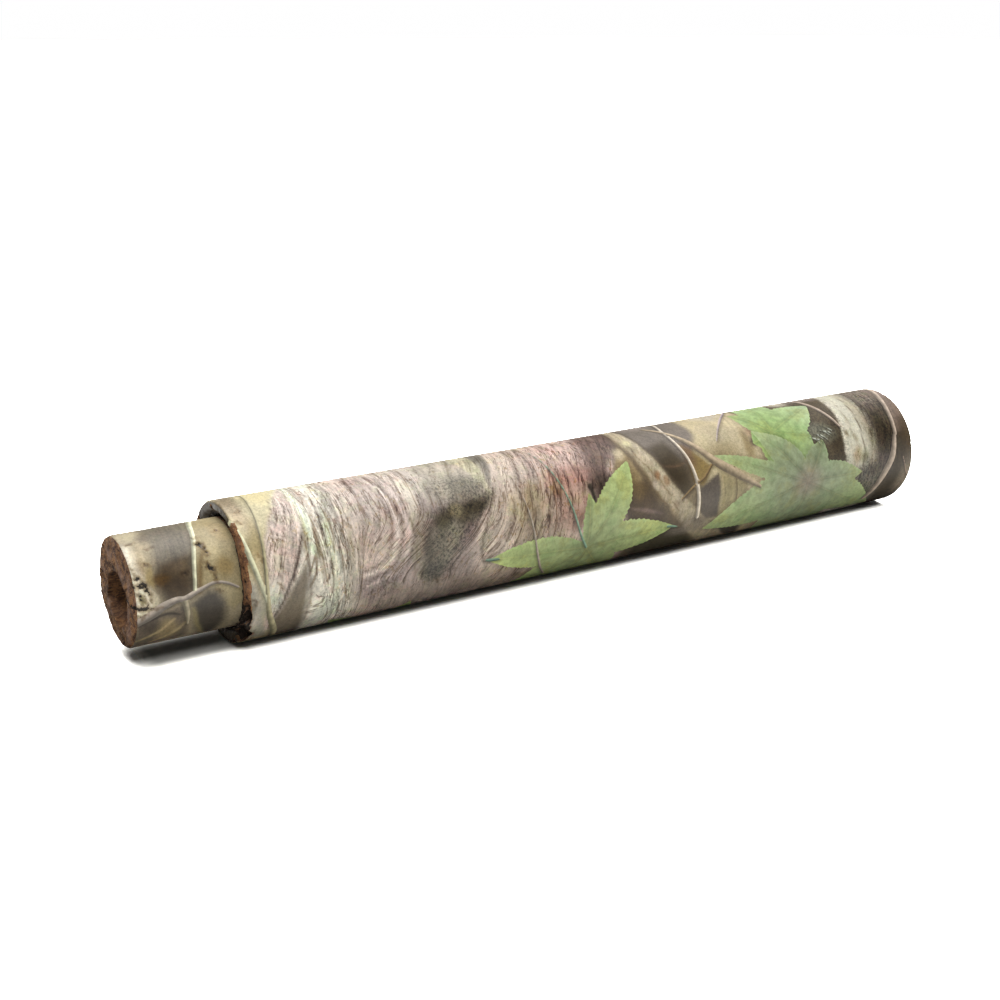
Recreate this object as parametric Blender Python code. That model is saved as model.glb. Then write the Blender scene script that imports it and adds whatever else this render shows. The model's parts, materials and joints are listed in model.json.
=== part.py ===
"""A round push-pull turkey call: a friction call whose box is a bored wooden tube.

Pushing the hollow sleeve at the mouth slides a chalked striker block along a thin sounding board inside
the tube, which yelps; a coil spring pushes the sleeve out again. The sleeve's bore lets the sound out, and
the plug at the far end pulls out to reach the board with chalk.

The call lies along X with its mouth at low X, on the plane z = 0. The origin is under the middle of its
length. Sizes are in metres. "Depth" is the distance along X from the tube's mouth, positive inwards.
"""

import math

import bmesh
import bpy
from mathutils import Matrix, Vector

# Driving dimensions of the two turned outer pieces
BARREL_LENGTH = 0.2350
BARREL_RADIUS = 0.0190
BORE_RADIUS = 0.0148
SLEEVE_RADIUS = 0.0145
SLEEVE_REACH = 0.0275  # how far the sleeve stands out of the mouth at rest
SLEEVE_INSIDE = 0.0360  # how far it runs inside the tube
SLEEVE_BORE_RADIUS = 0.0062
STROKE = 0.0150  # how far the sleeve pushes in
GAP = 0.0002  # clearance between pieces that touch on the real call
EDGE = 0.0008  # rounding of the turned outer edges

TOTAL_LENGTH = BARREL_LENGTH + SLEEVE_REACH
MOUTH_X = SLEEVE_REACH - TOTAL_LENGTH / 2
AXIS_Z = BARREL_RADIUS

# Keeper pin, which runs in a keyway under the sleeve: it stops the sleeve's turn and both ends of its travel
PIN_RADIUS = 0.0015
PIN_DEPTH = 0.0180
PIN_INNER_END = 0.0118  # distance of its inner end from the axis
PIN_OUTER_END = 0.0187
KEYWAY_FLOOR = 0.0112

# Felt ring on the sleeve and cork ring on the end plug: each sits in a groove and nearly fills the bore
RING_WIDTH = 0.0026
RING_INNER_RADIUS = 0.0128
RING_OUTER_RADIUS = 0.01465
RING_EDGE = 0.0003
FELT_DEPTH = 0.0262

# Return spring and the ring it pushes against
SPRING_WIRE = 0.0012
SPRING_MEAN_RADIUS = 0.0129
SPRING_TURNS = 7
SEAT_DEPTH = 0.0680
SEAT_THICKNESS = 0.0040
SEAT_INNER_RADIUS = 0.0108

# Sounding board and the two half-moon bridges that hold it; heights are above the tube's axis
BOARD_DEPTH = 0.0740
BOARD_LENGTH = 0.1220
BOARD_WIDTH = 0.0240
BOARD_UNDERSIDE = 0.0040
BOARD_THICKNESS = 0.0022
BRIDGE_LENGTH = 0.0110
SCREW_SPREAD = 0.0070  # distance of each board screw from the middle of the board

# Striker arm, block and the pin they swing on
ARM_WIDTH = 0.0090
ARM_THICKNESS = 0.0045
ARM_TOP = -0.0015
ARM_TAIL_DEPTH = 0.0272
ARM_TIP_DEPTH = 0.1170
PIVOT_DEPTH = 0.0310
PIVOT_HEIGHT = ARM_TOP - ARM_THICKNESS / 2
PIVOT_RADIUS = 0.0012
PIVOT_LENGTH = 0.0250
BLOCK_DEPTH = 0.1080
BLOCK_LENGTH = 0.0150
BLOCK_WIDTH = 0.0120
BLOCK_CROWN_RADIUS = 0.0240

# Slot in the sleeve's inner end, which takes the arm and the leaf spring under it
SLOT_START_DEPTH = 0.0170
SLOT_HALF_WIDTH = 0.0048
SLOT_FLOOR = -0.0078
LEAF_THICKNESS = 0.0004
LEAF_WIDTH = 0.0060
LEAF_START_DEPTH = 0.0183
LEAF_BEND_DEPTH = 0.0262
LEAF_TIP_DEPTH = 0.0580
LEAF_SCREW_DEPTH = 0.0222

# End plug; the cork ring on it grips the bore
PLUG_LENGTH = 0.0140
PLUG_RADIUS = 0.0145
PLUG_POCKET_DEPTH = 0.0070
PLUG_POCKET_RADIUS = 0.0108
PLUG_BAR_WIDTH = 0.0055
CORK_FROM_END = 0.0100

# Small slotted wood screw
SCREW_LENGTH = 0.0075
SCREW_HEAD_RADIUS = 0.0020
SCREW_HEAD_HEIGHT = 0.0011
SCREW_RIM_SHARE = 0.2  # share of the head's height that is a straight rim above the cone
SCREW_SHANK_RADIUS = 0.0010
SCREW_SLOT_WIDTH = 0.0005
SCREW_SLOT_DEPTH = 0.0004

ROUND_STEPS = 64
SMALL_STEPS = 20
SMOOTH_ANGLE = math.radians(35)

# Colours are linear RGB
FINISHES = {
    "camouflage_film": ((0.33, 0.30, 0.23), 0.42, 0.0),
    "turned_wood": ((0.16, 0.070, 0.035), 0.85, 0.0),
    "tone_wood": ((0.42, 0.22, 0.11), 0.70, 0.0),
    "striker_wood": ((0.13, 0.055, 0.040), 0.65, 0.0),
    "felt": ((0.06, 0.09, 0.05), 0.95, 0.0),
    "cork": ((0.45, 0.28, 0.15), 0.90, 0.0),
    "brass": ((0.62, 0.44, 0.16), 0.35, 1.0),
    "spring_steel": ((0.40, 0.40, 0.41), 0.30, 1.0),
}


def clear_scene():
    for obj in list(bpy.data.objects):
        bpy.data.objects.remove(obj)


def make_materials():
    made = {}
    for name, (colour, roughness, metallic) in FINISHES.items():
        material = bpy.data.materials.new(name)
        material.use_nodes = True
        shader = material.node_tree.nodes["Principled BSDF"]
        shader.inputs["Base Color"].default_value = (*colour, 1.0)
        shader.inputs["Roughness"].default_value = roughness
        shader.inputs["Metallic"].default_value = metallic
        made[name] = material
    return made


def at(depth, side=0.0, height=0.0):
    """A point of the call: depth in from the mouth, side along Y, height above the tube's axis."""
    return Vector((MOUTH_X + depth, side, AXIS_Z + height))


def add_object(name, data, finish, parent, location):
    """A visible piece with one finish. The parent is an empty with no rotation, so its location adds up."""
    obj = bpy.data.objects.new(name, data)
    bpy.context.scene.collection.objects.link(obj)
    data.materials.append(MATERIALS[finish])
    obj.parent = parent
    obj.location = Vector(location) - parent.location
    return obj


def mesh_from(bm, name):
    bmesh.ops.recalc_face_normals(bm, faces=bm.faces)
    mesh = bpy.data.meshes.new(name)
    bm.to_mesh(mesh)
    bm.free()
    mesh.shade_smooth()
    mesh.set_sharp_from_angle(angle=SMOOTH_ANGLE)
    return mesh


def turned_mesh(name, profile, steps=ROUND_STEPS):
    """Spins a closed outline of (x, radius) points about the X axis."""
    bm = bmesh.new()
    ring = [bm.verts.new((x, 0.0, radius)) for x, radius in profile]
    edges = [bm.edges.new((a, b)) for a, b in zip(ring, ring[1:] + ring[:1], strict=True)]
    bmesh.ops.spin(
        bm, geom=ring + edges, cent=(0, 0, 0), axis=(1, 0, 0), angle=2 * math.pi, steps=steps, use_merge=True
    )
    bmesh.ops.remove_doubles(bm, verts=bm.verts, dist=1e-7)
    bmesh.ops.dissolve_degenerate(bm, edges=bm.edges, dist=1e-7)
    return mesh_from(bm, name)


def prism_mesh(name, outline, vector):
    """Extrudes a closed outline of 3D points along a vector."""
    bm = bmesh.new()
    face = bm.faces.new([bm.verts.new(p) for p in outline])
    made = bmesh.ops.extrude_face_region(bm, geom=[face])
    moved = [v for v in made["geom"] if isinstance(v, bmesh.types.BMVert)]
    bmesh.ops.translate(bm, verts=moved, vec=vector)
    return mesh_from(bm, name)


def box_mesh(name, size):
    bm = bmesh.new()
    bmesh.ops.create_cube(bm, size=1.0, matrix=Matrix.Diagonal((*size, 1.0)))
    return mesh_from(bm, name)


def rod_mesh(name, radius, length, direction, steps=SMALL_STEPS):
    """A plain rod centred on its own origin, along a direction."""
    bm = bmesh.new()
    turn = Vector((0, 0, 1)).rotation_difference(Vector(direction)).to_matrix().to_4x4()
    bmesh.ops.create_cone(
        bm, cap_ends=True, segments=steps, radius1=radius, radius2=radius, depth=length, matrix=turn
    )
    return mesh_from(bm, name)


def ring_profile(start, end, inner, outer, edge=0.0):
    """Outline of a ring between two x values, with its outer edges chamfered."""
    return [
        (start, inner),
        (start, outer - edge),
        (start + edge, outer),
        (end - edge, outer),
        (end, outer - edge),
        (end, inner),
    ]


def rounded_edge(x, radius, edge, towards, steps=3):
    """Points of a quarter round from the flat end face to the round side. towards is +1 or -1 along X."""
    points = []
    for i in range(steps + 1):
        angle = math.pi / 2 * i / steps
        points.append(
            (x + towards * edge * (1 - math.sin(angle)), radius - edge * (1 - math.cos(angle)))
        )
    return points[::-1]


def softened(obj, width=0.0004):
    """Breaks the sharp edges of a sawn piece."""
    bevel = obj.modifiers.new("soft_edges", "BEVEL")
    bevel.width = width
    bevel.segments = 2
    bevel.limit_method = "ANGLE"
    bevel.angle_limit = math.radians(50)
    return obj


def cut(obj, cutter_mesh, location):
    """Takes a shape out of a piece with a hidden cutter."""
    cutter = bpy.data.objects.new("cut_" + cutter_mesh.name, cutter_mesh)
    bpy.context.scene.collection.objects.link(cutter)
    cutter.location = location
    cutter.hide_render = True
    cutter.display_type = "WIRE"
    boolean = obj.modifiers.new(cutter.name, "BOOLEAN")
    boolean.operation = "DIFFERENCE"
    boolean.solver = "EXACT"
    boolean.object = cutter


def add_body(name, location):
    """An empty on a moving piece's joint, which carries everything that moves with it."""
    empty = bpy.data.objects.new(name, None)
    empty.location = location
    bpy.context.scene.collection.objects.link(empty)
    return empty


def add_screw(name, parent, head, direction):
    """A slotted wood screw. head is the middle of its head's face, direction is the way it is driven."""
    profile = [
        (0.0, 0.0),
        (0.0, SCREW_HEAD_RADIUS),
        (SCREW_HEAD_HEIGHT * SCREW_RIM_SHARE, SCREW_HEAD_RADIUS),
        (SCREW_HEAD_HEIGHT, SCREW_SHANK_RADIUS),
        (SCREW_LENGTH * 0.8, SCREW_SHANK_RADIUS),
        (SCREW_LENGTH, 0.0),
    ]
    turn = Vector((1, 0, 0)).rotation_difference(Vector(direction)).to_matrix().to_4x4()
    mesh = turned_mesh(name, profile, steps=SMALL_STEPS)
    mesh.transform(turn)
    screw = add_object(name, mesh, "brass", parent, head)
    slot = box_mesh(name + "_slot", (2 * SCREW_SLOT_DEPTH, 3 * SCREW_HEAD_RADIUS, SCREW_SLOT_WIDTH))
    slot.transform(turn)
    cut(screw, slot, head)


def screw_hole(name):
    """Cutter for a countersunk hole that clears a screw driven along +Z, with its mouth at the origin."""
    side = SCREW_SHANK_RADIUS + GAP
    head = SCREW_HEAD_RADIUS + GAP
    bottom = SCREW_LENGTH + 2 * GAP
    profile = [
        (-SCREW_HEAD_HEIGHT, 0.0),
        (-SCREW_HEAD_HEIGHT, head),
        (SCREW_HEAD_HEIGHT * SCREW_RIM_SHARE + GAP, head),
        (SCREW_HEAD_HEIGHT + GAP, side),
        (bottom, side),
        (bottom, 0.0),
    ]
    mesh = turned_mesh(name, profile, steps=SMALL_STEPS)
    mesh.transform(Vector((1, 0, 0)).rotation_difference(Vector((0, 0, 1))).to_matrix().to_4x4())
    return mesh


def make_barrel(body):
    near = rounded_edge(0.0, BARREL_RADIUS, EDGE, 1)
    far = rounded_edge(BARREL_LENGTH, BARREL_RADIUS, EDGE, -1)
    chamfer = EDGE / 2
    bore = [
        (BARREL_LENGTH, BORE_RADIUS + chamfer),
        (BARREL_LENGTH - chamfer, BORE_RADIUS),
        (chamfer, BORE_RADIUS),
        (0.0, BORE_RADIUS + chamfer),
    ]
    mesh = turned_mesh("barrel", near + far[::-1] + bore)
    barrel = add_object("barrel", mesh, "camouflage_film", body, at(0.0))
    hole = rod_mesh("keeper_pin_hole", PIN_RADIUS + GAP, 2 * BARREL_RADIUS - BORE_RADIUS, (0, 0, 1))
    cut(barrel, hole, at(PIN_DEPTH, height=-BARREL_RADIUS))


def make_keeper_pin(body):
    length = PIN_OUTER_END - PIN_INNER_END
    mesh = rod_mesh("keeper_pin", PIN_RADIUS, length, (0, 0, 1))
    middle = -(PIN_OUTER_END + PIN_INNER_END) / 2
    softened(add_object("keeper_pin", mesh, "brass", body, at(PIN_DEPTH, height=middle)), 0.0002)


def make_spring_seat(body):
    profile = ring_profile(0.0, SEAT_THICKNESS, SEAT_INNER_RADIUS, BORE_RADIUS - GAP, edge=0.0003)
    add_object("spring_seat", turned_mesh("spring_seat", profile), "turned_wood", body, at(SEAT_DEPTH))


def spring_path(start, end):
    """Helix along X whose first and last turns lie nearly flat, as closed ends do."""
    per_turn = 20
    count = SPRING_TURNS * per_turn
    closed_turn = 1.0 / SPRING_TURNS
    closed_rise = 1.1 * SPRING_WIRE
    points = []
    for i in range(count + 1):
        share = i / count
        if share < closed_turn:
            x = start + closed_rise * share / closed_turn
        elif share > 1 - closed_turn:
            x = end - closed_rise * (1 - share) / closed_turn
        else:
            middle = (share - closed_turn) / (1 - 2 * closed_turn)
            x = start + closed_rise + middle * (end - start - 2 * closed_rise)
        angle = 2 * math.pi * i / per_turn
        points.append((x, SPRING_MEAN_RADIUS * math.sin(angle), SPRING_MEAN_RADIUS * math.cos(angle)))
    return points


def make_return_spring(body):
    curve = bpy.data.curves.new("return_spring", "CURVE")
    curve.dimensions = "3D"
    curve.bevel_depth = SPRING_WIRE / 2
    curve.bevel_resolution = 2
    curve.use_fill_caps = True
    wire = SPRING_WIRE / 2 + GAP
    path = spring_path(SLEEVE_INSIDE + wire, SEAT_DEPTH - wire)
    spline = curve.splines.new("POLY")
    spline.points.add(len(path) - 1)
    for point, place in zip(spline.points, path, strict=True):
        point.co = (*place, 1.0)
    add_object("return_spring", curve, "spring_steel", body, at(0.0))


def board_screw_places():
    for depth in (BOARD_DEPTH + BRIDGE_LENGTH / 2, BOARD_DEPTH + BOARD_LENGTH - BRIDGE_LENGTH / 2):
        for side in (-SCREW_SPREAD, SCREW_SPREAD):
            yield at(depth, side, BOARD_UNDERSIDE)


def make_sounding_board(body):
    middle = at(BOARD_DEPTH + BOARD_LENGTH / 2, height=BOARD_UNDERSIDE + BOARD_THICKNESS / 2)
    mesh = box_mesh("sounding_board", (BOARD_LENGTH, BOARD_WIDTH, BOARD_THICKNESS))
    board = softened(add_object("sounding_board", mesh, "tone_wood", body, middle), 0.0003)
    for i, place in enumerate(board_screw_places(), 1):
        cut(board, screw_hole(f"board_hole_{i}"), place)
        add_screw(f"board_screw_{i}", body, place, (0, 0, 1))


def make_bridge(name, body, depth):
    """A half-moon block between the board and the top of the bore."""
    radius = BORE_RADIUS - GAP
    base = BOARD_UNDERSIDE + BOARD_THICKNESS + GAP
    reach = math.acos(base / radius)
    steps = 20
    outline = []
    for i in range(steps + 1):
        angle = -reach + 2 * reach * i / steps
        outline.append((0.0, radius * math.sin(angle), radius * math.cos(angle)))
    mesh = prism_mesh(name, outline, (BRIDGE_LENGTH, 0, 0))
    bridge = add_object(name, mesh, "turned_wood", body, at(depth))
    for i, place in enumerate(board_screw_places(), 1):
        if depth < place.x - MOUTH_X < depth + BRIDGE_LENGTH:
            cut(bridge, screw_hole(f"{name}_hole_{i}"), place)


def make_sleeve(body):
    """The hollow plunger. Its inner end is slotted for the arm, and a keyway runs along its underside."""
    end = -SLEEVE_REACH
    groove_start = FELT_DEPTH - GAP
    groove_end = FELT_DEPTH + RING_WIDTH + GAP
    groove_floor = RING_INNER_RADIUS - GAP
    outside = rounded_edge(end, SLEEVE_RADIUS, EDGE, 1) + [
        (groove_start, SLEEVE_RADIUS),
        (groove_start, groove_floor),
        (groove_end, groove_floor),
        (groove_end, SLEEVE_RADIUS),
        (SLEEVE_INSIDE - EDGE / 2, SLEEVE_RADIUS),
        (SLEEVE_INSIDE, SLEEVE_RADIUS - EDGE / 2),
    ]
    inside = [(SLEEVE_INSIDE, SLEEVE_BORE_RADIUS), (end, SLEEVE_BORE_RADIUS)]
    mesh = turned_mesh("plunger_sleeve", outside + inside)
    sleeve = add_object("plunger_sleeve", mesh, "camouflage_film", body, at(0.0))

    keyway_start = PIN_DEPTH - STROKE - PIN_RADIUS - GAP
    keyway_end = PIN_DEPTH + PIN_RADIUS + GAP
    cutter_height = SLEEVE_RADIUS  # reaches from the keyway's floor to well outside the sleeve
    keyway = box_mesh("keyway", (keyway_end - keyway_start, 2 * (PIN_RADIUS + GAP), cutter_height))
    cut(sleeve, keyway, at((keyway_start + keyway_end) / 2, height=-KEYWAY_FLOOR - cutter_height / 2))

    slot_end = SLEEVE_INSIDE + SLEEVE_RADIUS
    slot = box_mesh("arm_slot", (slot_end - SLOT_START_DEPTH, 2 * SLOT_HALF_WIDTH, -SLOT_FLOOR))
    cut(sleeve, slot, at((SLOT_START_DEPTH + slot_end) / 2, height=SLOT_FLOOR / 2))

    pivot_hole = rod_mesh("pivot_hole", PIVOT_RADIUS + GAP, 4 * SLEEVE_RADIUS, (0, 1, 0))
    cut(sleeve, pivot_hole, at(PIVOT_DEPTH, height=PIVOT_HEIGHT))
    leaf_hole = rod_mesh("leaf_screw_hole", SCREW_SHANK_RADIUS + GAP, 2 * SCREW_LENGTH, (0, 0, 1))
    cut(sleeve, leaf_hole, at(LEAF_SCREW_DEPTH, height=SLOT_FLOOR + LEAF_THICKNESS))


def make_felt_ring(body):
    profile = ring_profile(0.0, RING_WIDTH, RING_INNER_RADIUS, RING_OUTER_RADIUS, edge=RING_EDGE)
    add_object("felt_ring", turned_mesh("felt_ring", profile), "felt", body, at(FELT_DEPTH))


def make_pivot_pin(body):
    mesh = rod_mesh("pivot_pin", PIVOT_RADIUS, PIVOT_LENGTH, (0, 1, 0))
    add_object("pivot_pin", mesh, "brass", body, at(PIVOT_DEPTH, height=PIVOT_HEIGHT))


def make_tension_spring(body):
    """A leaf of spring steel, screwed flat behind the arm and bent up so that its tip lifts the arm."""
    low = SLOT_FLOOR + GAP
    tip = ARM_TOP - ARM_THICKNESS - GAP - LEAF_THICKNESS
    path = [(LEAF_START_DEPTH, low), (LEAF_BEND_DEPTH, low), (LEAF_TIP_DEPTH, tip)]
    outline = [(d, -LEAF_WIDTH / 2, h) for d, h in path]
    outline += [(d, -LEAF_WIDTH / 2, h + LEAF_THICKNESS) for d, h in reversed(path)]
    mesh = prism_mesh("tension_spring", outline, (0, LEAF_WIDTH, 0))
    leaf = add_object("tension_spring", mesh, "spring_steel", body, at(0.0))
    hole = rod_mesh("leaf_hole", SCREW_SHANK_RADIUS + GAP, 8 * LEAF_THICKNESS, (0, 0, 1))
    cut(leaf, hole, at(LEAF_SCREW_DEPTH, height=low))
    head = low + LEAF_THICKNESS + SCREW_HEAD_HEIGHT + GAP
    add_screw("tension_spring_screw", body, at(LEAF_SCREW_DEPTH, height=head), (0, 0, -1))


def make_striker_arm(body):
    length = ARM_TIP_DEPTH - ARM_TAIL_DEPTH
    mesh = box_mesh("striker_arm", (length, ARM_WIDTH, ARM_THICKNESS))
    middle = at((ARM_TIP_DEPTH + ARM_TAIL_DEPTH) / 2, height=PIVOT_HEIGHT)
    arm = softened(add_object("striker_arm", mesh, "tone_wood", body, middle), 0.0005)
    pivot_hole = rod_mesh("arm_pivot_hole", PIVOT_RADIUS + GAP, 2 * ARM_WIDTH, (0, 1, 0))
    cut(arm, pivot_hole, at(PIVOT_DEPTH, height=PIVOT_HEIGHT))
    underside = at(BLOCK_DEPTH, height=ARM_TOP - ARM_THICKNESS)
    cut(arm, screw_hole("arm_screw_hole"), underside)
    add_screw("block_screw", body, underside, (0, 0, 1))


def make_striker_block(body):
    """Rests on the arm. Its crowned top rubs the underside of the sounding board."""
    base = ARM_TOP + GAP
    crown = BOARD_UNDERSIDE - GAP
    half = BLOCK_LENGTH / 2
    steps = 12
    outline = [(half, -BLOCK_WIDTH / 2, base), (-half, -BLOCK_WIDTH / 2, base)]
    for i in range(steps + 1):
        x = -half + BLOCK_LENGTH * i / steps
        drop = BLOCK_CROWN_RADIUS - math.sqrt(BLOCK_CROWN_RADIUS**2 - x**2)
        outline.append((x, -BLOCK_WIDTH / 2, crown - drop))
    mesh = prism_mesh("striker_block", outline, (0, BLOCK_WIDTH, 0))
    block = add_object("striker_block", mesh, "striker_wood", body, at(BLOCK_DEPTH))
    cut(block, screw_hole("block_screw_hole"), at(BLOCK_DEPTH, height=ARM_TOP - ARM_THICKNESS))


def half_moon_mesh(name, radius, chord_height, length, sign):
    """Cutter for one finger pocket: the part of a disc beyond a chord, extruded along X."""
    reach = math.acos(chord_height / radius)
    steps = 16
    outline = []
    for i in range(steps + 1):
        angle = -reach + 2 * reach * i / steps
        outline.append((0.0, sign * radius * math.cos(angle), radius * math.sin(angle)))
    return prism_mesh(name, outline, (length, 0, 0))


def make_end_plug(body):
    """A disc flush with the tube's end, with two pockets that leave a bar to pinch and pull."""
    inner = BARREL_LENGTH - PLUG_LENGTH
    groove = BARREL_LENGTH - CORK_FROM_END
    profile = [
        (inner, 0.0),
        (inner, PLUG_RADIUS - EDGE),
        (inner + EDGE, PLUG_RADIUS),
        (groove - GAP, PLUG_RADIUS),
        (groove - GAP, RING_INNER_RADIUS - GAP),
        (groove + RING_WIDTH + GAP, RING_INNER_RADIUS - GAP),
        (groove + RING_WIDTH + GAP, PLUG_RADIUS),
        (BARREL_LENGTH - EDGE / 2, PLUG_RADIUS),
        (BARREL_LENGTH, PLUG_RADIUS - EDGE / 2),
        (BARREL_LENGTH, 0.0),
    ]
    plug = add_object("end_plug", turned_mesh("end_plug", profile), "turned_wood", body, at(0.0))
    for name, sign in (("pocket_left", -1), ("pocket_right", 1)):
        pocket = half_moon_mesh(name, PLUG_POCKET_RADIUS, PLUG_BAR_WIDTH / 2, 2 * PLUG_POCKET_DEPTH, sign)
        cut(plug, pocket, at(BARREL_LENGTH - PLUG_POCKET_DEPTH))
    ring = ring_profile(0.0, RING_WIDTH, RING_INNER_RADIUS, RING_OUTER_RADIUS, edge=RING_EDGE)
    add_object("plug_ring", turned_mesh("plug_ring", ring), "cork", body, at(groove))


def build():
    casing = add_body("casing_body", at(0.0))
    plunger = add_body("plunger_body", at(0.0))
    striker = add_body("striker_body", at(PIVOT_DEPTH, height=PIVOT_HEIGHT))
    plug = add_body("end_plug_body", at(BARREL_LENGTH))

    make_barrel(casing)
    make_keeper_pin(casing)
    make_spring_seat(casing)
    make_return_spring(casing)
    make_sounding_board(casing)
    make_bridge("front_bridge", casing, BOARD_DEPTH)
    make_bridge("rear_bridge", casing, BOARD_DEPTH + BOARD_LENGTH - BRIDGE_LENGTH)

    make_sleeve(plunger)
    make_felt_ring(plunger)
    make_pivot_pin(plunger)
    make_tension_spring(plunger)

    make_striker_arm(striker)
    make_striker_block(striker)

    make_end_plug(plug)


clear_scene()
MATERIALS = make_materials()
build()
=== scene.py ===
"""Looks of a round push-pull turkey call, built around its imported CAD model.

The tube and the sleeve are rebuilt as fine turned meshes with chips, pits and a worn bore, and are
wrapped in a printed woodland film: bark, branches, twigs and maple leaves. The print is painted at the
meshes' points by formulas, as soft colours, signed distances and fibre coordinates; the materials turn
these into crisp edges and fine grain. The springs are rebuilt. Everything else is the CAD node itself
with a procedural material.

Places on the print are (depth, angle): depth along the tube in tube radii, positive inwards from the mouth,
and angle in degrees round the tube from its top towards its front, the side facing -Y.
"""

import json
import math

import bmesh
import bpy
import numpy as np
from mathutils import Matrix, Vector


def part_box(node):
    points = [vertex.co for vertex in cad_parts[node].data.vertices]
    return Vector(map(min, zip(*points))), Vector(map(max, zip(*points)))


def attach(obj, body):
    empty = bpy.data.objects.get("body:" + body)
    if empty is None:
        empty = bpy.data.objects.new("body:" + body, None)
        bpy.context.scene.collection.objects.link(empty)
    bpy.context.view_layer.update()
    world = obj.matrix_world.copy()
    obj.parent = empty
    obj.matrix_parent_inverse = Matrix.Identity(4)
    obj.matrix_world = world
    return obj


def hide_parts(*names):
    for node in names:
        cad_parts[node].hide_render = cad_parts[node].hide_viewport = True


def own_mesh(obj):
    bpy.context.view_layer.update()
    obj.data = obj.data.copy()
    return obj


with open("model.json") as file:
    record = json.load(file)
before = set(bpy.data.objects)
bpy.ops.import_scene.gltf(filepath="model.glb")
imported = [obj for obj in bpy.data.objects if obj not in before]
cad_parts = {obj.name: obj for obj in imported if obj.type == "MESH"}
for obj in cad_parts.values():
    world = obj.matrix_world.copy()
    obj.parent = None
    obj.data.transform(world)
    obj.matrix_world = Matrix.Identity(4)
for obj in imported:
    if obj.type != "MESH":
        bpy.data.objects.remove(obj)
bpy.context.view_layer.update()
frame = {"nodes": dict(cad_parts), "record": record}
NODES = frame["nodes"]

BARREL_LOW, BARREL_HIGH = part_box("barrel")
TUBE_R = (BARREL_HIGH.z - BARREL_LOW.z) / 2
AXIS_Z = (BARREL_HIGH.z + BARREL_LOW.z) / 2
MOUTH_X = BARREL_LOW.x
TUBE_END_X = BARREL_HIGH.x
SLEEVE_TIP_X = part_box("plunger_sleeve")[0].x

MM = 0.001
FAR = 9.0  # farther than any stroke reaches, in tube radii
HASH_STEPS = np.array((374761393, 668265263, 1442695041))  # large odd numbers that scatter the cells' keys
HASH_SEED = 1013904223
HASH_MIX = 1274126177


def radii(node):
    """Smallest and largest distance of a CAD node's points from the tube's axis."""
    away = [math.hypot(v.co.y, v.co.z - AXIS_Z) for v in NODES[node].data.vertices]
    return min(away), max(away)


BORE_R = radii("barrel")[0]
SLEEVE_BORE_R, SLEEVE_R = radii("plunger_sleeve")


# ---------------------------------------------------------------- random fields and small maths


def value_noise(points, rate, seed):
    """Smooth random field from 0 to 1. rate is lumps per metre."""
    place = points * rate + seed * 17.37
    cell = np.floor(place).astype(np.int64)
    part = place - cell
    part = part * part * (3 - 2 * part)
    total = np.zeros(len(points))
    for corner in range(8):
        step = np.array([corner & 1, corner >> 1 & 1, corner >> 2 & 1])
        key = (cell + step) @ HASH_STEPS + seed * HASH_SEED
        key = ((key ^ (key >> 13)) * HASH_MIX) & 0xFFFFFFFF
        value = ((key ^ (key >> 16)) & 0xFFFF) / 65535.0
        total += value * np.prod(np.where(step, part, 1 - part), axis=1)
    return total


def fractal(points, rate, seed, octaves=3):
    """Value noise of several scales, from 0 to 1."""
    total = np.zeros(len(points))
    weight = 0.0
    for octave in range(octaves):
        total += value_noise(points, rate * 2**octave, seed + octave) * 0.5**octave
        weight += 0.5**octave
    return total / weight


def smooth(low, high, value):
    """0 below low, 1 above high, with a soft step between; low may be the larger."""
    share = np.clip((value - low) / (high - low), 0.0, 1.0)
    return share * share * (3 - 2 * share)


def ink(red, green, blue):
    """Linear colour of a screen colour given in 0 to 255."""
    screen = np.array([red, green, blue]) / 255.0
    return np.where(screen <= 0.04045, screen / 12.92, ((screen + 0.055) / 1.055) ** 2.4)


def unrolled(points):
    """Depth from the mouth and distance from the axis, in tube radii, and the angle round the tube."""
    side = -points[:, 1]
    up = points[:, 2] - AXIS_Z
    angle = np.degrees(np.arctan2(side, up))
    return (points[:, 0] - MOUTH_X) / TUBE_R, angle, np.hypot(side, up) / TUBE_R


def arc(angle, start):
    """Distance round the tube in tube radii from one angle to another, the short way."""
    return np.radians((angle - start + 180.0) % 360.0 - 180.0)


def curved(path, per_span=6):
    """A Catmull-Rom curve through the points of a path."""
    p = np.array(path, float)
    p = np.vstack([2 * p[0] - p[1], p, 2 * p[-1] - p[-2]])
    out = []
    for i in range(1, len(p) - 2):
        for t in np.arange(per_span) / per_span:
            a = 2 * p[i]
            b = (p[i + 1] - p[i - 1]) * t
            c = (2 * p[i - 1] - 5 * p[i] + 4 * p[i + 1] - p[i + 2]) * t**2
            d = (3 * p[i] - p[i - 1] - 3 * p[i + 1] + p[i + 2]) * t**3
            out.append((a + b + c + d) / 2)
    out.append(p[-2])
    return np.array(out)


def beside_curve(x, y, places, widths):
    """Signed distance outside a tapering curve through flat places, and the place across it.

    The place across runs from -1 to 1 between the curve's two sides.
    """
    curve = curved(places)
    half = np.interp(np.linspace(0, 1, len(curve)), np.linspace(0, 1, len(widths)), np.array(widths) / 2)
    edge = np.full(len(x), FAR)
    side = np.zeros(len(x))
    for (ax, ay), (bx, by), ha, hb in zip(curve, curve[1:], half, half[1:], strict=False):
        ex, ey = bx - ax, by - ay
        share = np.clip(((x - ax) * ex + (y - ay) * ey) / (ex * ex + ey * ey), 0, 1)
        width = ha + share * (hb - ha)
        away = np.hypot(x - ax - share * ex, y - ay - share * ey) - width
        closer = away < edge
        edge = np.where(closer, away, edge)
        cross = ((y - ay) * ex - (x - ax) * ey) / math.hypot(ex, ey)
        side = np.where(closer, np.clip(cross / width, -1.5, 1.5), side)
    return edge, side


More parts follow.
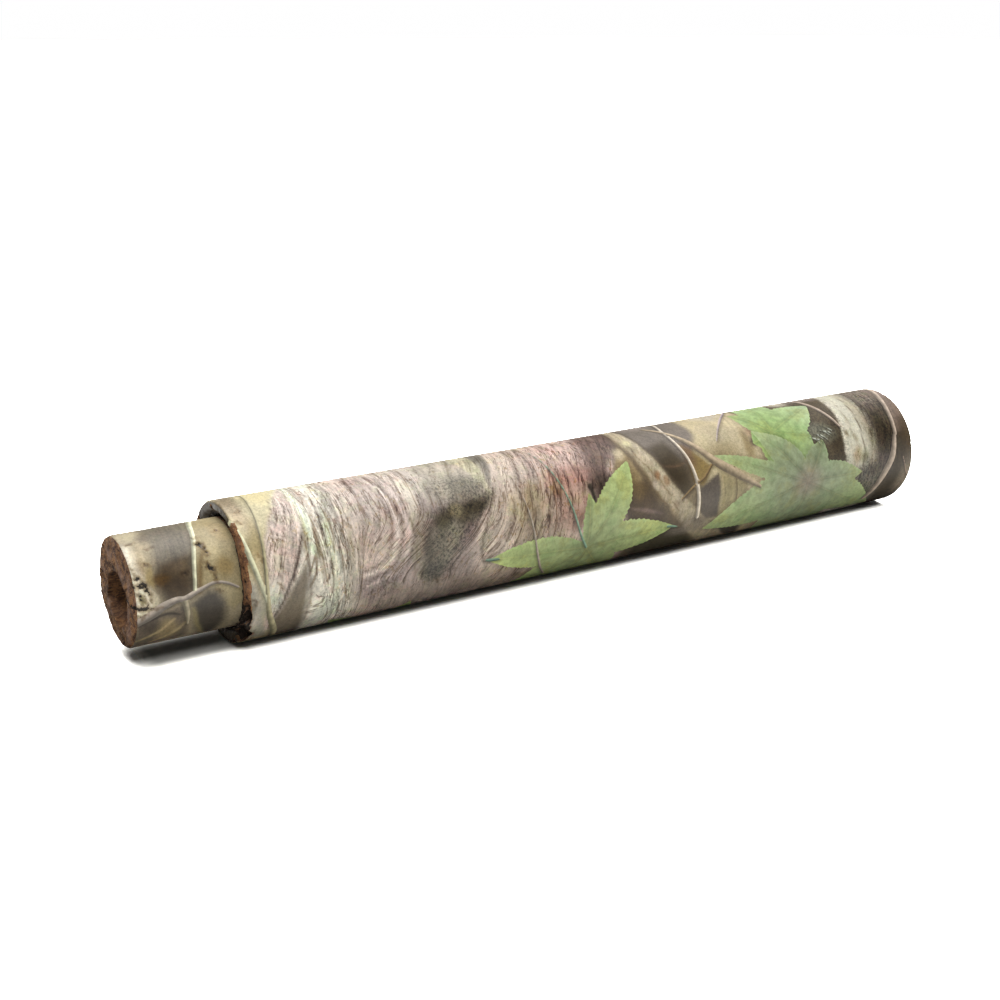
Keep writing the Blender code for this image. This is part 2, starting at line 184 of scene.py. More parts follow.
# ---------------------------------------------------------------- the printed film


class Film:
    """A woodland print on a turned surface, painted from back to front at the surface's points.

    Depths of strokes count from start. Colours are screen colours. grain is how much bark grain the
    material adds there, and speckle is how much flecks show.
    """

    LOBES = 7  # every leaf has this many lobes, so one material can find its veins
    HEART_R = 0.17  # the disc that the lobes grow from, in tube radii
    TEETH = 12.0  # along a lobe, per tube radius
    TOOTH = 0.034  # how far a tooth stands out, in tube radii
    LOBE_ROOT, LOBE_SHOULDER, LOBE_POINT = 0.04, 0.9, 1.12  # how a lobe widens and narrows along itself
    LOBE_FULLNESS = 3.75  # brings its widest place to the half width asked for
    PLAIN_SPECKLE = 0.25
    RAGGED = 0.3  # how far a fully ragged edge wanders, in tube radii

    def __init__(self, points, ground, seed, start=0.0):
        self.points = points
        self.start = start
        self.depth, self.angle, self.radius = unrolled(points)
        count = len(points)
        self.ragged_depth = self.RAGGED * (fractal(points, 110, seed, 4) - 0.5)
        self.ragged_arc = self.RAGGED * (fractal(points, 110, seed + 7, 4) - 0.5)
        self.colour = np.tile(ink(*ground), (count, 1))
        self.grain = np.zeros(count)
        self.speckle = np.full(count, self.PLAIN_SPECKLE)
        self.across = self.depth.copy()
        far = np.full(count, FAR)
        self.leaf = {
            layer: {"u": far.copy(), "v": far.copy(), "edge": far.copy(), "colour": np.zeros((count, 3))}
            for layer in ("low", "high")
        }
        self.twig_edge = far.copy()
        self.twig_side = np.zeros(count)
        self.twig_colour = np.zeros((count, 3))

    def offset(self, place, ragged=0.0):
        """Distances of every point from a place, along and around, in tube radii."""
        along = self.depth - self.start - place[0] + ragged * self.ragged_depth
        around = arc(self.angle, place[1]) + ragged * self.ragged_arc
        return along, around

    def blend(self, weight, colour, grain=None, speckle=None):
        """Takes the print towards a colour, grain and speckle, by a weight at each point."""
        weight = np.clip(weight, 0.0, 1.0)
        self.colour += weight[:, None] * (ink(*colour) - self.colour)
        if grain is not None:
            self.grain += weight * (grain - self.grain)
        if speckle is not None:
            self.speckle += weight * (speckle - self.speckle)

    def patch(self, place, size, colour, strength=1.0, tilt=0.0, grain=None, speckle=None, soft=0.6):
        """A ragged oval. size is its half length in tube radii and its half height in degrees."""
        along, around = self.offset(place, 1.0)
        turn = math.radians(tilt)
        major = along * math.cos(turn) + around * math.sin(turn)
        minor = around * math.cos(turn) - along * math.sin(turn)
        away = np.hypot(major / size[0], minor / math.radians(size[1]))
        self.blend(strength * smooth(1 + soft, 1 - soft, away), colour, grain, speckle)

    def area(self, corners, colour, edge=0.05, strength=1.0, grain=None, speckle=None, ragged=0.4):
        """A filled outline of (depth, angle) corners with a soft edge."""
        centre = np.mean(corners, axis=0)
        x, y = self.offset(centre, ragged)
        outline = [(d - centre[0], math.radians(a - centre[1])) for d, a in corners]
        inside = np.zeros(len(x), bool)
        nearest = np.full(len(x), FAR)
        for (ax, ay), (bx, by) in zip(outline, outline[1:] + outline[:1], strict=True):
            ex, ey = bx - ax, by - ay
            share = np.clip(((x - ax) * ex + (y - ay) * ey) / (ex * ex + ey * ey), 0, 1)
            nearest = np.minimum(nearest, np.hypot(x - ax - share * ex, y - ay - share * ey))
            crosses = (ay > y) != (by > y)
            inside ^= crosses & (x < ax + (y - ay) * ex / (ey if ey else 1e-9))
        signed = np.where(inside, -nearest, nearest)
        self.blend(strength * smooth(edge, -edge, signed), colour, grain, speckle)

    def path(self, places, widths, ragged=0.0):
        """beside_curve for a curve through (depth, angle) places."""
        centre = np.mean(places, axis=0)
        x, y = self.offset(centre, ragged)
        return beside_curve(x, y, [(d - centre[0], math.radians(a - centre[1])) for d, a in places], widths)

    def streak(self, places, widths, colour, edge=0.04, strength=1.0, grain=None, ragged=0.3):
        """A soft-edged band along a curve."""
        away, _ = self.path(places, widths, ragged)
        self.blend(strength * smooth(edge, -edge, away), colour, grain)

    def twig(self, places, widths, colour, under_leaves=False):
        """A crisp twig. Its light side is on the left of its direction of travel."""
        edge, side = self.path(places, widths, 0.06)
        if under_leaves:
            for layer in self.leaf.values():
                edge = np.maximum(edge, -layer["edge"])
        closer = edge < self.twig_edge
        self.twig_edge = np.where(closer, edge, self.twig_edge)
        self.twig_side = np.where(closer, side, self.twig_side)
        self.twig_colour = np.where(closer[:, None], ink(*colour), self.twig_colour)

    def maple(self, layer, place, lobes, colour, tip_colour, heart_colour, seed, heart):
        """A palmate leaf. lobes are (direction in degrees, length, half width), in order of direction."""
        u, v = self.offset(place, 0.12)
        away = np.hypot(u, v)
        edge = away - self.HEART_R
        for direction, length, width in lobes:
            turn = math.radians(direction)
            ahead = u * math.cos(turn) + v * math.sin(turn)
            side = np.abs(v * math.cos(turn) - u * math.sin(turn))
            share = np.clip(ahead / length, 0.0, 1.0)
            saw = (ahead * self.TEETH + 0.1 * seed + 0.5 * self.ragged_depth * self.TEETH) % 1.0
            tooth = self.TOOTH * (saw - 0.5) * np.sin(math.pi * share)
            shape = (share + self.LOBE_ROOT) ** self.LOBE_SHOULDER * (1 - share) ** self.LOBE_POINT
            half = width * self.LOBE_FULLNESS * shape + tooth
            past = np.maximum(np.maximum(ahead - length, -ahead), 0.0)
            edge = np.minimum(edge, np.hypot(np.maximum(side - half, 0), past) + np.minimum(side - half, 0))
        # turn the real directions of the lobes into evenly spaced ones
        starts = np.array([lobe[0] for lobe in lobes] + [lobes[0][0] + 360.0])
        angle = (np.degrees(np.arctan2(v, u)) - starts[0]) % 360.0 + starts[0]
        even = np.radians(np.interp(angle, starts, np.arange(self.LOBES + 1) * 360.0 / self.LOBES))
        tone = fractal(self.points, 260, seed, 3)[:, None]
        reach = smooth(0.4, 1.5, away)[:, None]
        middle = smooth(heart, 0.05, away)[:, None] * 0.65
        body = ink(*colour)
        body = body + reach * (ink(*tip_colour) - body)
        body = body + middle * (ink(*heart_colour) - body)
        body = body * (0.8 + 0.4 * tone)
        target = self.leaf[layer]
        closer = edge < target["edge"]
        target["u"] = np.where(closer, away * np.cos(even), target["u"])
        target["v"] = np.where(closer, away * np.sin(even), target["v"])
        target["edge"] = np.where(closer, edge, target["edge"])
        target["colour"] = np.where(closer[:, None], body, target["colour"])

    def store(self, mesh):
        """Writes the painting to the mesh's points."""
        write_attribute(mesh, "print_colour", "FLOAT_COLOR", np.column_stack([self.colour, self.grain]))
        fibre = np.column_stack([self.across, self.speckle, self.speckle])
        write_attribute(mesh, "fibre", "FLOAT_VECTOR", fibre)
        for layer, leaf in self.leaf.items():
            shape = np.column_stack([leaf["u"], leaf["v"], leaf["edge"]])
            write_attribute(mesh, f"leaf_{layer}", "FLOAT_VECTOR", shape)
            colour = np.column_stack([leaf["colour"], np.ones(len(shape))])
            write_attribute(mesh, f"leaf_{layer}_colour", "FLOAT_COLOR", colour)
        twig = np.column_stack([self.twig_edge, self.twig_side, self.twig_side])
        write_attribute(mesh, "twig", "FLOAT_VECTOR", twig)
        colour = np.column_stack([self.twig_colour, np.ones(len(twig))])
        write_attribute(mesh, "twig_colour", "FLOAT_COLOR", colour)


def write_attribute(mesh, name, kind, values):
    """Stores one row of values for each of a mesh's points."""
    field = {"FLOAT_VECTOR": "vector", "FLOAT_COLOR": "color"}[kind]
    attribute = mesh.attributes.new(name, kind, "POINT")
    attribute.data.foreach_set(field, np.ascontiguousarray(values, np.float32).ravel())


# Inks of the print, as screen colours under plain light
PALE_BARK = (212, 206, 192)
LICHEN = (202, 208, 180)
PINK_BARK = (196, 178, 166)
MAUVE_BARK = (150, 136, 130)
RED_BARK = (176, 134, 118)
KNOT = (96, 89, 77)
DARK = (66, 57, 44)
EARTH = (94, 82, 66)
OLIVE = (132, 116, 78)
TAN = (186, 172, 138)
STRAW = (196, 186, 150)
BLACK = (34, 29, 22)
LEAF = (150, 164, 114)
LEAF_TIP = (168, 182, 126)
LEAF_HEART = (138, 120, 98)
SPRING_LEAF = (148, 170, 114)
PALE_LEAF = (166, 182, 146)
STEM = (122, 152, 128)
TWIG = (186, 168, 148)
ROSY_TWIG = (170, 154, 138)


def fibre_slant(film):
    """Bark fibres run round the tube, leaning more in some lengths than in others, and swirl by a knot."""
    stations = (-2.0, 0.0, 0.7, 1.1, 3.0, 3.7, 4.4, 5.2, 6.4, 8.0, 10.5, 13.0)
    leans = (0.1, 0.25, 0.45, 0.0, 0.05, 0.42, 0.42, 0.18, 0.45, 0.1, 0.15, 0.1)
    lean = np.interp(film.depth, stations, leans)
    film.across = film.depth + lean * np.sin(np.radians(film.angle - 60.0))
    swirl = smooth(1.55, 1.95, film.depth) * smooth(4.4, 2.4, film.depth)
    turn = smooth(50.0, 106.0, film.angle) * smooth(235.0, 178.0, film.angle)
    film.across += 0.95 * swirl * turn
    film.across += 0.05 * (fractal(film.points, 45, 5, 2) - 0.5)


def paint_background(film):
    """Bark, wood and blurred undergrowth, from the mouth to the far end and all the way round."""
    lengths = (  # depth, half length, colour, grain, softness
        (0.3, 0.85, TAN, 0.25, 0.3), (1.25, 0.62, PALE_BARK, 1.0, 0.2), (2.3, 0.75, PINK_BARK, 0.9, 0.3),
        (3.4, 0.8, MAUVE_BARK, 0.8, 0.4), (5.0, 1.5, PINK_BARK, 0.95, 0.15),
        (7.2, 0.95, EARTH, 0.12, 0.15), (8.6, 0.85, TAN, 0.22, 0.25), (9.9, 0.9, EARTH, 0.2, 0.3),
        (11.2, 0.55, PALE_BARK, 0.6, 0.25), (12.1, 0.55, DARK, 0.35, 0.35),
    )
    for depth, half, colour, grain, soft in lengths:
        film.patch((depth, 60), (half, 400), colour, grain=grain, soft=soft)


def paint_mouth_end(film):
    """Straw-coloured ground, a slab of pale leaning bark and the shadowed gap under it."""
    patch, area, streak = film.patch, film.area, film.streak
    area([(-0.2, -60), (1.05, -60), (0.95, -8), (0.62, 22), (0.28, 50), (0.02, 62), (-0.2, 40)], STRAW,
         0.08, grain=0.14)
    patch((0.12, -20), (0.16, 24), (150, 138, 112), 0.6)
    patch((0.1, 14), (0.12, 30), (172, 150, 122), 0.7)
    patch((0.16, -14), (0.18, 34), (124, 110, 88), 0.85, speckle=0.6)
    patch((0.55, 2), (0.16, 14), (206, 192, 146), 0.6)
    patch((0.2, 50), (0.09, 14), (150, 132, 88), 0.7)
    patch((0.09, 60), (0.05, 12), (120, 104, 66), 0.6)
    area([(-0.2, 76), (0.14, 82), (0.26, 104), (0.34, 140), (-0.2, 140)], (154, 148, 134), 0.09,
         grain=0.45)
    patch((0.16, 118), (0.08, 10), (180, 172, 160), 0.7)
    # painted shade over dark print: the rim, turned from the light, is darkened at top and grey-brown below
    face = smooth(0.03, 0.0, film.depth) * smooth(1.0, 0.965, film.radius)
    film.blend(face * smooth(60, 20, film.angle), (56, 46, 33), 0.5, 0.6)
    film.blend(face * smooth(90, 120, film.angle), (88, 76, 64), 0.5)
    patch((0.1, 98), (0.06, 8), (112, 104, 84), 0.6)
    area([(1.0, -12), (0.62, 24), (0.33, 50), (0.28, 130), (0.4, 128), (0.84, 64), (0.96, 20)],
         (206, 190, 178), 0.04, grain=0.9)
    patch((0.42, 96), (0.14, 12), (184, 190, 174), 0.7)
    area([(0.88, 72), (0.62, 94), (0.39, 118), (0.42, 150), (0.84, 150), (0.86, 100)], (112, 101, 86),
         0.06, grain=0.3)
    streak([(0.88, 50), (0.8, 66), (0.62, 88), (0.4, 115)], (0.03, 0.06, 0.05, 0.025), (62, 48, 38),
           0.02, 0.9)
    streak([(0.6, 50), (0.5, 72), (0.44, 84)], (0.012, 0.03, 0.012), (96, 78, 66), 0.02, 0.8)
    streak([(0.72, 30), (0.6, 52)], (0.01, 0.02), (120, 100, 88), 0.02, 0.8)
    streak([(0.93, 44), (0.9, 60), (0.89, 72)], (0.02, 0.05, 0.03), (116, 92, 56), 0.025, 0.85)
    streak([(0.9, 74), (0.9, 100), (0.86, 128)], (0.02, 0.05, 0.04), (104, 90, 76), 0.025, 0.7)
    for shift in (-0.16, -0.08, 0.04):
        streak([(0.84 + shift, 10), (0.62 + shift, 44), (0.46 + shift, 84)], (0.01, 0.022, 0.01),
               (98, 78, 66), 0.014, 0.85, ragged=0.6)
    streak([(1.02, -10), (0.98, 34), (0.99, 68)], (0.05, 0.1, 0.06), (214, 222, 198), 0.035, 0.85)
    streak([(0.94, 36), (0.95, 58)], (0.02, 0.04), (160, 146, 84), 0.025, 0.7)
    streak([(1.16, -30), (1.14, 10), (1.11, 44)], (0.03, 0.05, 0.02), (158, 136, 118), 0.03, 0.75)
    streak([(1.06, 46), (1.06, 70), (1.09, 92)], (0.02, 0.04, 0.02), (128, 108, 84), 0.025, 0.75)
    streak([(1.38, 60), (1.37, 86)], (0.02, 0.045, 0.02), (96, 84, 68), 0.025, 0.8)
    streak([(1.45, 14), (1.44, 50), (1.46, 112)], (0.015, 0.03, 0.02), (148, 136, 118), 0.025, 0.75)
    streak([(1.57, 46), (1.56, 64), (1.55, 82)], (0.02, 0.05, 0.02), (130, 112, 72), 0.025, 0.8)
    streak([(1.28, 34), (1.26, 80), (1.3, 126)], (0.05, 0.1, 0.06), LICHEN, 0.05, 0.7)
    for depth in (1.2, 1.5, 1.64):
        streak([(depth + 0.02, 0), (depth - 0.01, 60), (depth + 0.03, 120)], (0.008, 0.02, 0.012),
               (86, 70, 56), 0.014, 0.8, ragged=0.6)
    patch((1.12, 120), (0.16, 14), (190, 194, 178), 0.6)
    patch((1.8, 62), (0.12, 14), (178, 152, 136), 0.5)
    patch((1.75, 30), (0.3, 34), (186, 176, 164), 0.55)
    patch((1.52, 100), (0.12, 26), (164, 156, 140), 0.6)


def paint_knot(film):
    """Mauve bark that closes round a dark knot, with light fibres bending past it."""
    patch, area, streak = film.patch, film.area, film.streak
    patch((1.95, 106), (0.4, 18), (132, 118, 116), 0.85, grain=1.0)
    patch((2.45, 100), (0.3, 22), (142, 128, 124), 0.8, grain=1.0)
    patch((3.0, 124), (1.0, 14), (146, 132, 122), 0.8, grain=0.6)
    patch((2.75, 10), (0.5, 30), (200, 190, 178), 0.7, grain=0.9)
    patch((2.58, 38), (0.1, 20), (214, 206, 188), 0.6)
    patch((2.05, 34), (0.3, 40), (160, 147, 140), 0.55)
    area([(3.15, -50), (4.3, -50), (4.05, 20), (3.98, 46), (3.5, 48), (3.0, 46), (3.0, 10)],
         (160, 152, 136), 0.2, 0.85, grain=0.7)
    patch((3.3, 8), (0.24, 14), (182, 172, 156), 0.6, grain=0.8)
    patch((3.5, 34), (0.42, 12), (104, 98, 84), 0.85, grain=0.5, speckle=0.9)
    patch((3.22, 30), (0.1, 14), (168, 158, 140), 0.6)
    patch((2.62, 78), (0.16, 26), (126, 116, 100), 0.7, grain=1.0)
    area([(2.64, 104), (2.66, 82), (2.82, 68), (3.0, 58), (3.2, 48), (3.5, 43), (3.9, 46), (3.8, 57),
         (3.54, 74), (3.3, 90), (3.06, 106), (2.82, 108)], KNOT, 0.13, grain=0.7, speckle=1.0, ragged=0.9)
    patch((3.62, 52), (0.3, 7), (56, 48, 32), 0.9, tilt=-14, speckle=1.3)
    patch((3.35, 62), (0.16, 7), (64, 56, 40), 0.7, tilt=-20)
    patch((3.02, 61), (0.28, 6), (62, 55, 38), 0.85, tilt=-30)
    patch((2.72, 86), (0.07, 17), (70, 64, 54), 0.7)
    patch((2.86, 100), (0.22, 6), (80, 76, 70), 0.7)
    patch((2.88, 80), (0.1, 13), (104, 98, 86), 0.6)
    patch((3.14, 80), (0.16, 13), (130, 122, 108), 0.7, grain=1.1)
    patch((3.26, 56), (0.1, 6), (122, 112, 86), 0.7)
    patch((3.42, 78), (0.2, 8), (112, 96, 92), 0.8, tilt=-45, grain=1.0)
    patch((3.2, 100), (0.3, 6), (128, 113, 106), 0.7, tilt=-45)
    area([(3.62, -30), (3.96, -30), (4.0, 10), (3.92, 46), (3.8, 26), (3.66, 0)], (180, 174, 144), 0.05,
         0.75)
    area([(3.98, -40), (4.4, -40), (4.16, 20), (3.97, 47), (4.0, 10)], (108, 104, 93), 0.05, 0.85)
    streak([(2.16, -14), (2.2, 10), (2.28, 36), (2.31, 56), (2.22, 76), (2.06, 88), (1.7, 94)],
           (0.03, 0.05, 0.05, 0.05, 0.03), (220, 206, 196), 0.02, 0.9)
    streak([(2.22, -10), (2.27, 14), (2.35, 38), (2.38, 58), (2.3, 78), (2.12, 92), (1.72, 98)],
           (0.02, 0.03, 0.03, 0.03, 0.02), (104, 88, 80), 0.016, 0.85)
    streak([(2.1, 4), (2.17, 30), (2.24, 54), (2.15, 74), (1.98, 85), (1.68, 90)],
           (0.015, 0.03, 0.03, 0.02), (112, 96, 86), 0.016, 0.8)
    streak([(2.34, 0), (2.41, 30), (2.46, 60), (2.4, 80), (2.2, 96), (1.74, 104)],
           (0.03, 0.05, 0.04, 0.03), (204, 188, 180), 0.02, 0.8)
    streak([(2.42, 10), (2.5, 50), (2.5, 70), (2.42, 88), (2.2, 104), (1.8, 112)], (0.02, 0.03, 0.03),
           (96, 82, 76), 0.016, 0.75)
    streak([(2.52, 56), (2.54, 80), (2.5, 100)], (0.02, 0.03, 0.02), (112, 98, 80), 0.02, 0.7)
    for shift in (0.0, 0.14, 0.26, 0.4):
        streak([(2.05 - 0.2 * shift, 92 + 26 * shift), (1.8 + shift, 100 + 30 * shift),
               (1.56 + shift, 112 + 30 * shift)], (0.012, 0.024, 0.012), (92, 76, 72), 0.016, 0.8,
               ragged=0.5)
    for shift in (0.0, 0.12, 0.24):
        streak([(4.16 + shift, 52), (3.98 + shift, 76), (3.82 + shift, 98)], (0.01, 0.024, 0.012),
               (84, 68, 58), 0.014, 0.85, ragged=0.5)


def paint_pink_trunk(film):
    """Leaning pink bark that reddens towards its shadowed far edge."""
    patch, area, streak = film.patch, film.area, film.streak
    area([(4.42, -60), (4.18, 20), (3.96, 48), (3.62, 76), (3.62, 104), (3.9, 150), (5.2, 150),
         (5.0, -60)], (184, 169, 155), 0.05, grain=0.85)
    streak([(4.02, 44), (3.72, 72), (3.62, 92), (3.66, 104)], (0.03, 0.05, 0.04), (92, 80, 70), 0.03, 0.8)
    streak([(4.62, 20), (4.4, 60), (4.15, 92), (3.9, 130)], (0.05, 0.16, 0.12), (196, 180, 168), 0.06,
           0.7)
    streak([(4.6, 44), (4.42, 66), (4.2, 96)], (0.04, 0.1, 0.03), (150, 134, 98), 0.06, 0.7)
    patch((4.62, 62), (0.22, 16), (146, 128, 96), 0.65)
    patch((4.75, 84), (0.4, 10), (152, 136, 118), 0.7, grain=1.1)
    patch((5.45, 20), (0.65, 34), (178, 152, 142), 0.75, grain=1.25)
    patch((5.2, 66), (0.34, 30), (158, 128, 112), 0.85, grain=1.35)
    patch((5.05, 46), (0.2, 12), (178, 138, 120), 0.6, grain=1.35)
    patch((5.55, 42), (0.3, 11), (142, 103, 91), 0.75, grain=1.4)
    patch((5.32, 82), (0.14, 10), (112, 80, 64), 0.7)
    patch((4.44, 84), (0.3, 12), (140, 124, 104), 0.6, grain=1.0)
    patch((4.28, 66), (0.12, 10), (172, 156, 124), 0.6)
    area([(5.95, -40), (6.75, -40), (6.35, 20), (6.02, 44), (5.82, 76), (5.6, 74), (5.64, 48),
         (5.8, 10)], (106, 86, 78), 0.1, grain=1.0)
    patch((5.86, 54), (0.24, 9), (78, 64, 54), 0.9)
    streak([(5.6, 56), (5.62, 70), (5.61, 82)], (0.1, 0.07, 0.02), BLACK, 0.025, 0.95)
    patch((4.1, 128), (0.6, 20), (126, 110, 98), 0.7, grain=0.9)
    patch((4.7, 134), (0.3, 8), (112, 100, 60), 0.7)
    cracks = (  # start, end and width in the middle
        ((4.62, 10), (4.36, 64), 0.03), ((4.98, 14), (4.72, 90), 0.03), ((5.3, 20), (5.12, 92), 0.035),
        ((5.55, -10), (5.4, 60), 0.03), ((5.85, -20), (5.64, 40), 0.035), ((4.3, 52), (4.08, 92), 0.03),
        ((5.02, 58), (4.9, 94), 0.035), ((4.86, -20), (4.7, 20), 0.02), ((6.1, -20), (5.92, 36), 0.03),
    )
    for start, end, width in cracks:
        middle = ((start[0] + end[0]) / 2 + 0.02, (start[1] + end[1]) / 2)
        streak([start, middle, end], (0.006, width, 0.006), (74, 50, 42), 0.016, 0.85, ragged=0.7)


def paint_undergrowth(film):
    """Blurred brown depths behind a thick branch, with warmer stems between them."""
    patch, area, streak = film.patch, film.area, film.streak
    area([(6.1, 48), (6.42, 22), (6.52, 40), (6.6, 62), (6.3, 66)], (146, 128, 94), 0.05, grain=0.25)
    patch((6.36, 30), (0.08, 7), (190, 176, 146), 0.75)
    patch((6.44, 54), (0.12, 9), (122, 104, 70), 0.6)
    area([(6.15, 66), (6.66, 60), (6.95, 92), (6.9, 110), (6.2, 98)], (80, 66, 50), 0.08, grain=0.2)
    patch((6.46, 68), (0.16, 8), (104, 86, 56), 0.8)
    streak([(6.3, 84), (6.6, 88), (6.86, 94)], (0.02, 0.06, 0.02), (124, 104, 96), 0.03, 0.8)
    area([(6.72, -50), (7.95, -50), (7.93, 24), (7.66, 40), (7.2, 70), (6.98, 76), (6.8, 40)],
         (112, 103, 93), 0.08, grain=0.1)
    patch((7.1, -16), (0.3, 14), (140, 128, 120), 0.6)
    area([(6.9, 30), (7.3, 26), (7.48, 50), (7.5, 78), (7.28, 82), (7.05, 72)], (70, 60, 44), 0.1,
         grain=0.1)
    patch((7.24, 62), (0.18, 14), (54, 44, 28), 0.8)
    streak([(7.0, 50), (7.3, 53), (7.55, 49)], (0.02, 0.03, 0.01), (100, 78, 58), 0.03, 0.7)
    area([(7.52, 32), (7.95, 58), (7.7, 76), (7.54, 70)], (132, 112, 70), 0.04, grain=0.1)
    patch((7.6, 44), (0.08, 10), (104, 78, 62), 0.7)
    area([(7.3, 84), (7.62, 72), (7.62, 108), (7.4, 106)], (120, 106, 82), 0.06, grain=0.3)
    area([(7.64, 78), (8.06, 66), (8.08, 110), (7.66, 110)], (86, 77, 68), 0.035, grain=0.12)
    area([(8.08, 66), (8.62, 80), (8.62, 112), (8.06, 112)], (146, 134, 100), 0.06, grain=0.35)
    area([(7.93, -50), (9.15, -50), (9.05, 60), (8.6, 66), (8.0, 52)], (180, 166, 134), 0.15, grain=0.25)
    patch((8.3, 30), (0.26, 16), (168, 156, 128), 0.7)
    patch((8.55, -6), (0.3, 12), (186, 178, 164), 0.7)
    patch((8.8, 44), (0.1, 14), (134, 116, 80), 0.8)
    patch((8.98, 34), (0.1, 6), (150, 124, 96), 0.8)
    patch((8.92, 42), (0.06, 3), (92, 80, 66), 0.9)
    patch((8.25, 50), (0.3, 10), (146, 132, 98), 0.7)
    area([(7.6, 112), (8.6, 116), (8.8, 150), (7.9, 150)], (74, 66, 56), 0.08, grain=0.2)
    area([(6.4, 118), (7.3, 112), (7.9, 150), (6.6, 150)], (64, 58, 42), 0.08, grain=0.1)
    streak([(6.55, -50), (6.6, -8), (6.62, 18), (6.8, 48), (7.08, 80), (7.5, 107), (8.1, 140),
           (8.6, 170)], (0.16, 0.2, 0.32, 0.34, 0.36, 0.34, 0.4, 0.4), (166, 153, 128), 0.03, grain=0.55)
    streak([(6.7, 0), (6.76, 26), (6.95, 56), (7.2, 82)], (0.03, 0.06, 0.07, 0.04), (196, 184, 160),
           0.05, 0.7)
    streak([(6.48, 14), (6.6, 46), (6.86, 80), (7.2, 100)], (0.04, 0.08, 0.09), (128, 110, 82), 0.05, 0.7)
    flecks = (
        ((6.64, 18), STRAW), ((6.88, 57), (150, 112, 78)), ((6.8, 66), (192, 178, 158)),
        ((6.93, 70), (176, 162, 140)), ((7.06, 62), (138, 112, 84)), ((6.74, 34), (186, 172, 146)),
        ((7.16, 88), (140, 122, 100)), ((7.3, 98), (150, 138, 116)), ((7.6, 112), (120, 108, 92)),
    )
    for place, colour in flecks:
        patch(place, (0.07, 4.5), colour, 0.85, soft=0.4)
    patch((7.5, 116), (0.4, 10), (118, 108, 98), 0.7)
    streak([(6.44, -30), (6.44, 14), (6.56, 44), (6.74, 72), (7.0, 94), (7.3, 112)],
           (0.04, 0.07, 0.09, 0.1, 0.1), (92, 78, 58), 0.05, 0.75)
    streak([(6.76, -20), (6.8, 14), (6.98, 46), (7.22, 72)], (0.02, 0.05, 0.05), (84, 72, 56), 0.03, 0.75)
    notches = (
        ((6.6, 22), (6.66, 40)), ((6.7, 44), (6.82, 58)), ((6.9, 60), (7.04, 76)),
        ((7.08, 84), (7.22, 96)), ((6.8, 74), (6.98, 88)),
    )
    for start, end in notches:
        streak([start, end], (0.02, 0.03), (104, 84, 58), 0.02, 0.8, ragged=0.6)


def paint_far_end(film):
    """Dark hollow, a pale upright trunk and the blurred dark beyond it."""
    patch, area, streak = film.patch, film.area, film.streak
    area([(10.25, -40), (11.05, -40), (10.95, 40), (10.82, 84), (10.3, 84), (10.1, 60), (10.3, 10)],
         (80, 70, 54), 0.06, grain=0.4, speckle=0.7)
    patch((10.64, 58), (0.15, 20), (58, 48, 32), 0.85)
    patch((10.6, -14), (0.4, 14), (150, 136, 128), 0.8)
    patch((10.3, 46), (0.34, 9), (108, 108, 94), 0.85, tilt=14)
    patch((10.05, 40), (0.14, 4), (84, 84, 62), 0.8)
    patch((10.1, -10), (0.2, 12), (190, 182, 164), 0.8)
    area([(11.05, -60), (11.75, -60), (11.56, 20), (11.46, 80), (11.2, 112), (10.75, 112), (10.8, 60),
         (10.9, 40), (11.0, 10)], (192, 188, 170), 0.04, grain=0.38)
    patch((11.44, 44), (0.12, 60), (160, 150, 128), 0.75, grain=0.5)
    streak([(10.98, 4), (10.9, 44), (10.78, 72)], (0.03, 0.06, 0.04), (214, 206, 188), 0.03, 0.8)
    patch((11.02, 76), (0.1, 7), (160, 140, 108), 0.8, grain=0.9)
    patch((11.2, 80), (0.1, 6), (126, 118, 84), 0.7, grain=0.9)
    patch((10.9, 57), (0.05, 4), (120, 104, 76), 0.8)
    patch((11.06, 62), (0.05, 4), (132, 118, 88), 0.6)
    streak([(11.34, 6), (11.28, 44), (11.17, 90)], (0.016, 0.03, 0.016), (96, 82, 66), 0.015, 0.9)
    streak([(11.14, 0), (11.05, 54)], (0.01, 0.022), (128, 114, 94), 0.015, 0.85)
    streak([(11.48, 6), (11.44, 60)], (0.012, 0.022), (132, 118, 96), 0.02, 0.8)
    area([(11.72, -60), (12.2, -60), (12.06, 40), (11.9, 86), (11.5, 128), (10.8, 128), (11.0, 92),
         (11.44, 84), (11.56, 20)], (70, 61, 47), 0.16, grain=1.25, speckle=0.9)
    patch((11.84, -6), (0.3, 28), (132, 122, 110), 0.85)
    patch((11.72, 58), (0.14, 16), (56, 48, 34), 0.7)
    patch((11.64, 88), (0.16, 12), (84, 74, 70), 0.7, speckle=0.8)
    patch((11.2, 108), (0.4, 14), (106, 102, 92), 0.8)
    area([(12.1, -60), (12.5, -60), (12.5, 60), (12.06, 60)], (120, 104, 92), 0.06, grain=0.3)
    patch((12.28, 66), (0.2, 22), (74, 60, 42), 0.85, grain=0.3)
    patch((12.28, 36), (0.1, 5), (132, 112, 96), 0.6)
    patch((12.25, 112), (0.18, 22), (140, 126, 108), 0.8, grain=0.2)
    patch((12.3, -14), (0.16, 24), (164, 148, 144), 0.7)


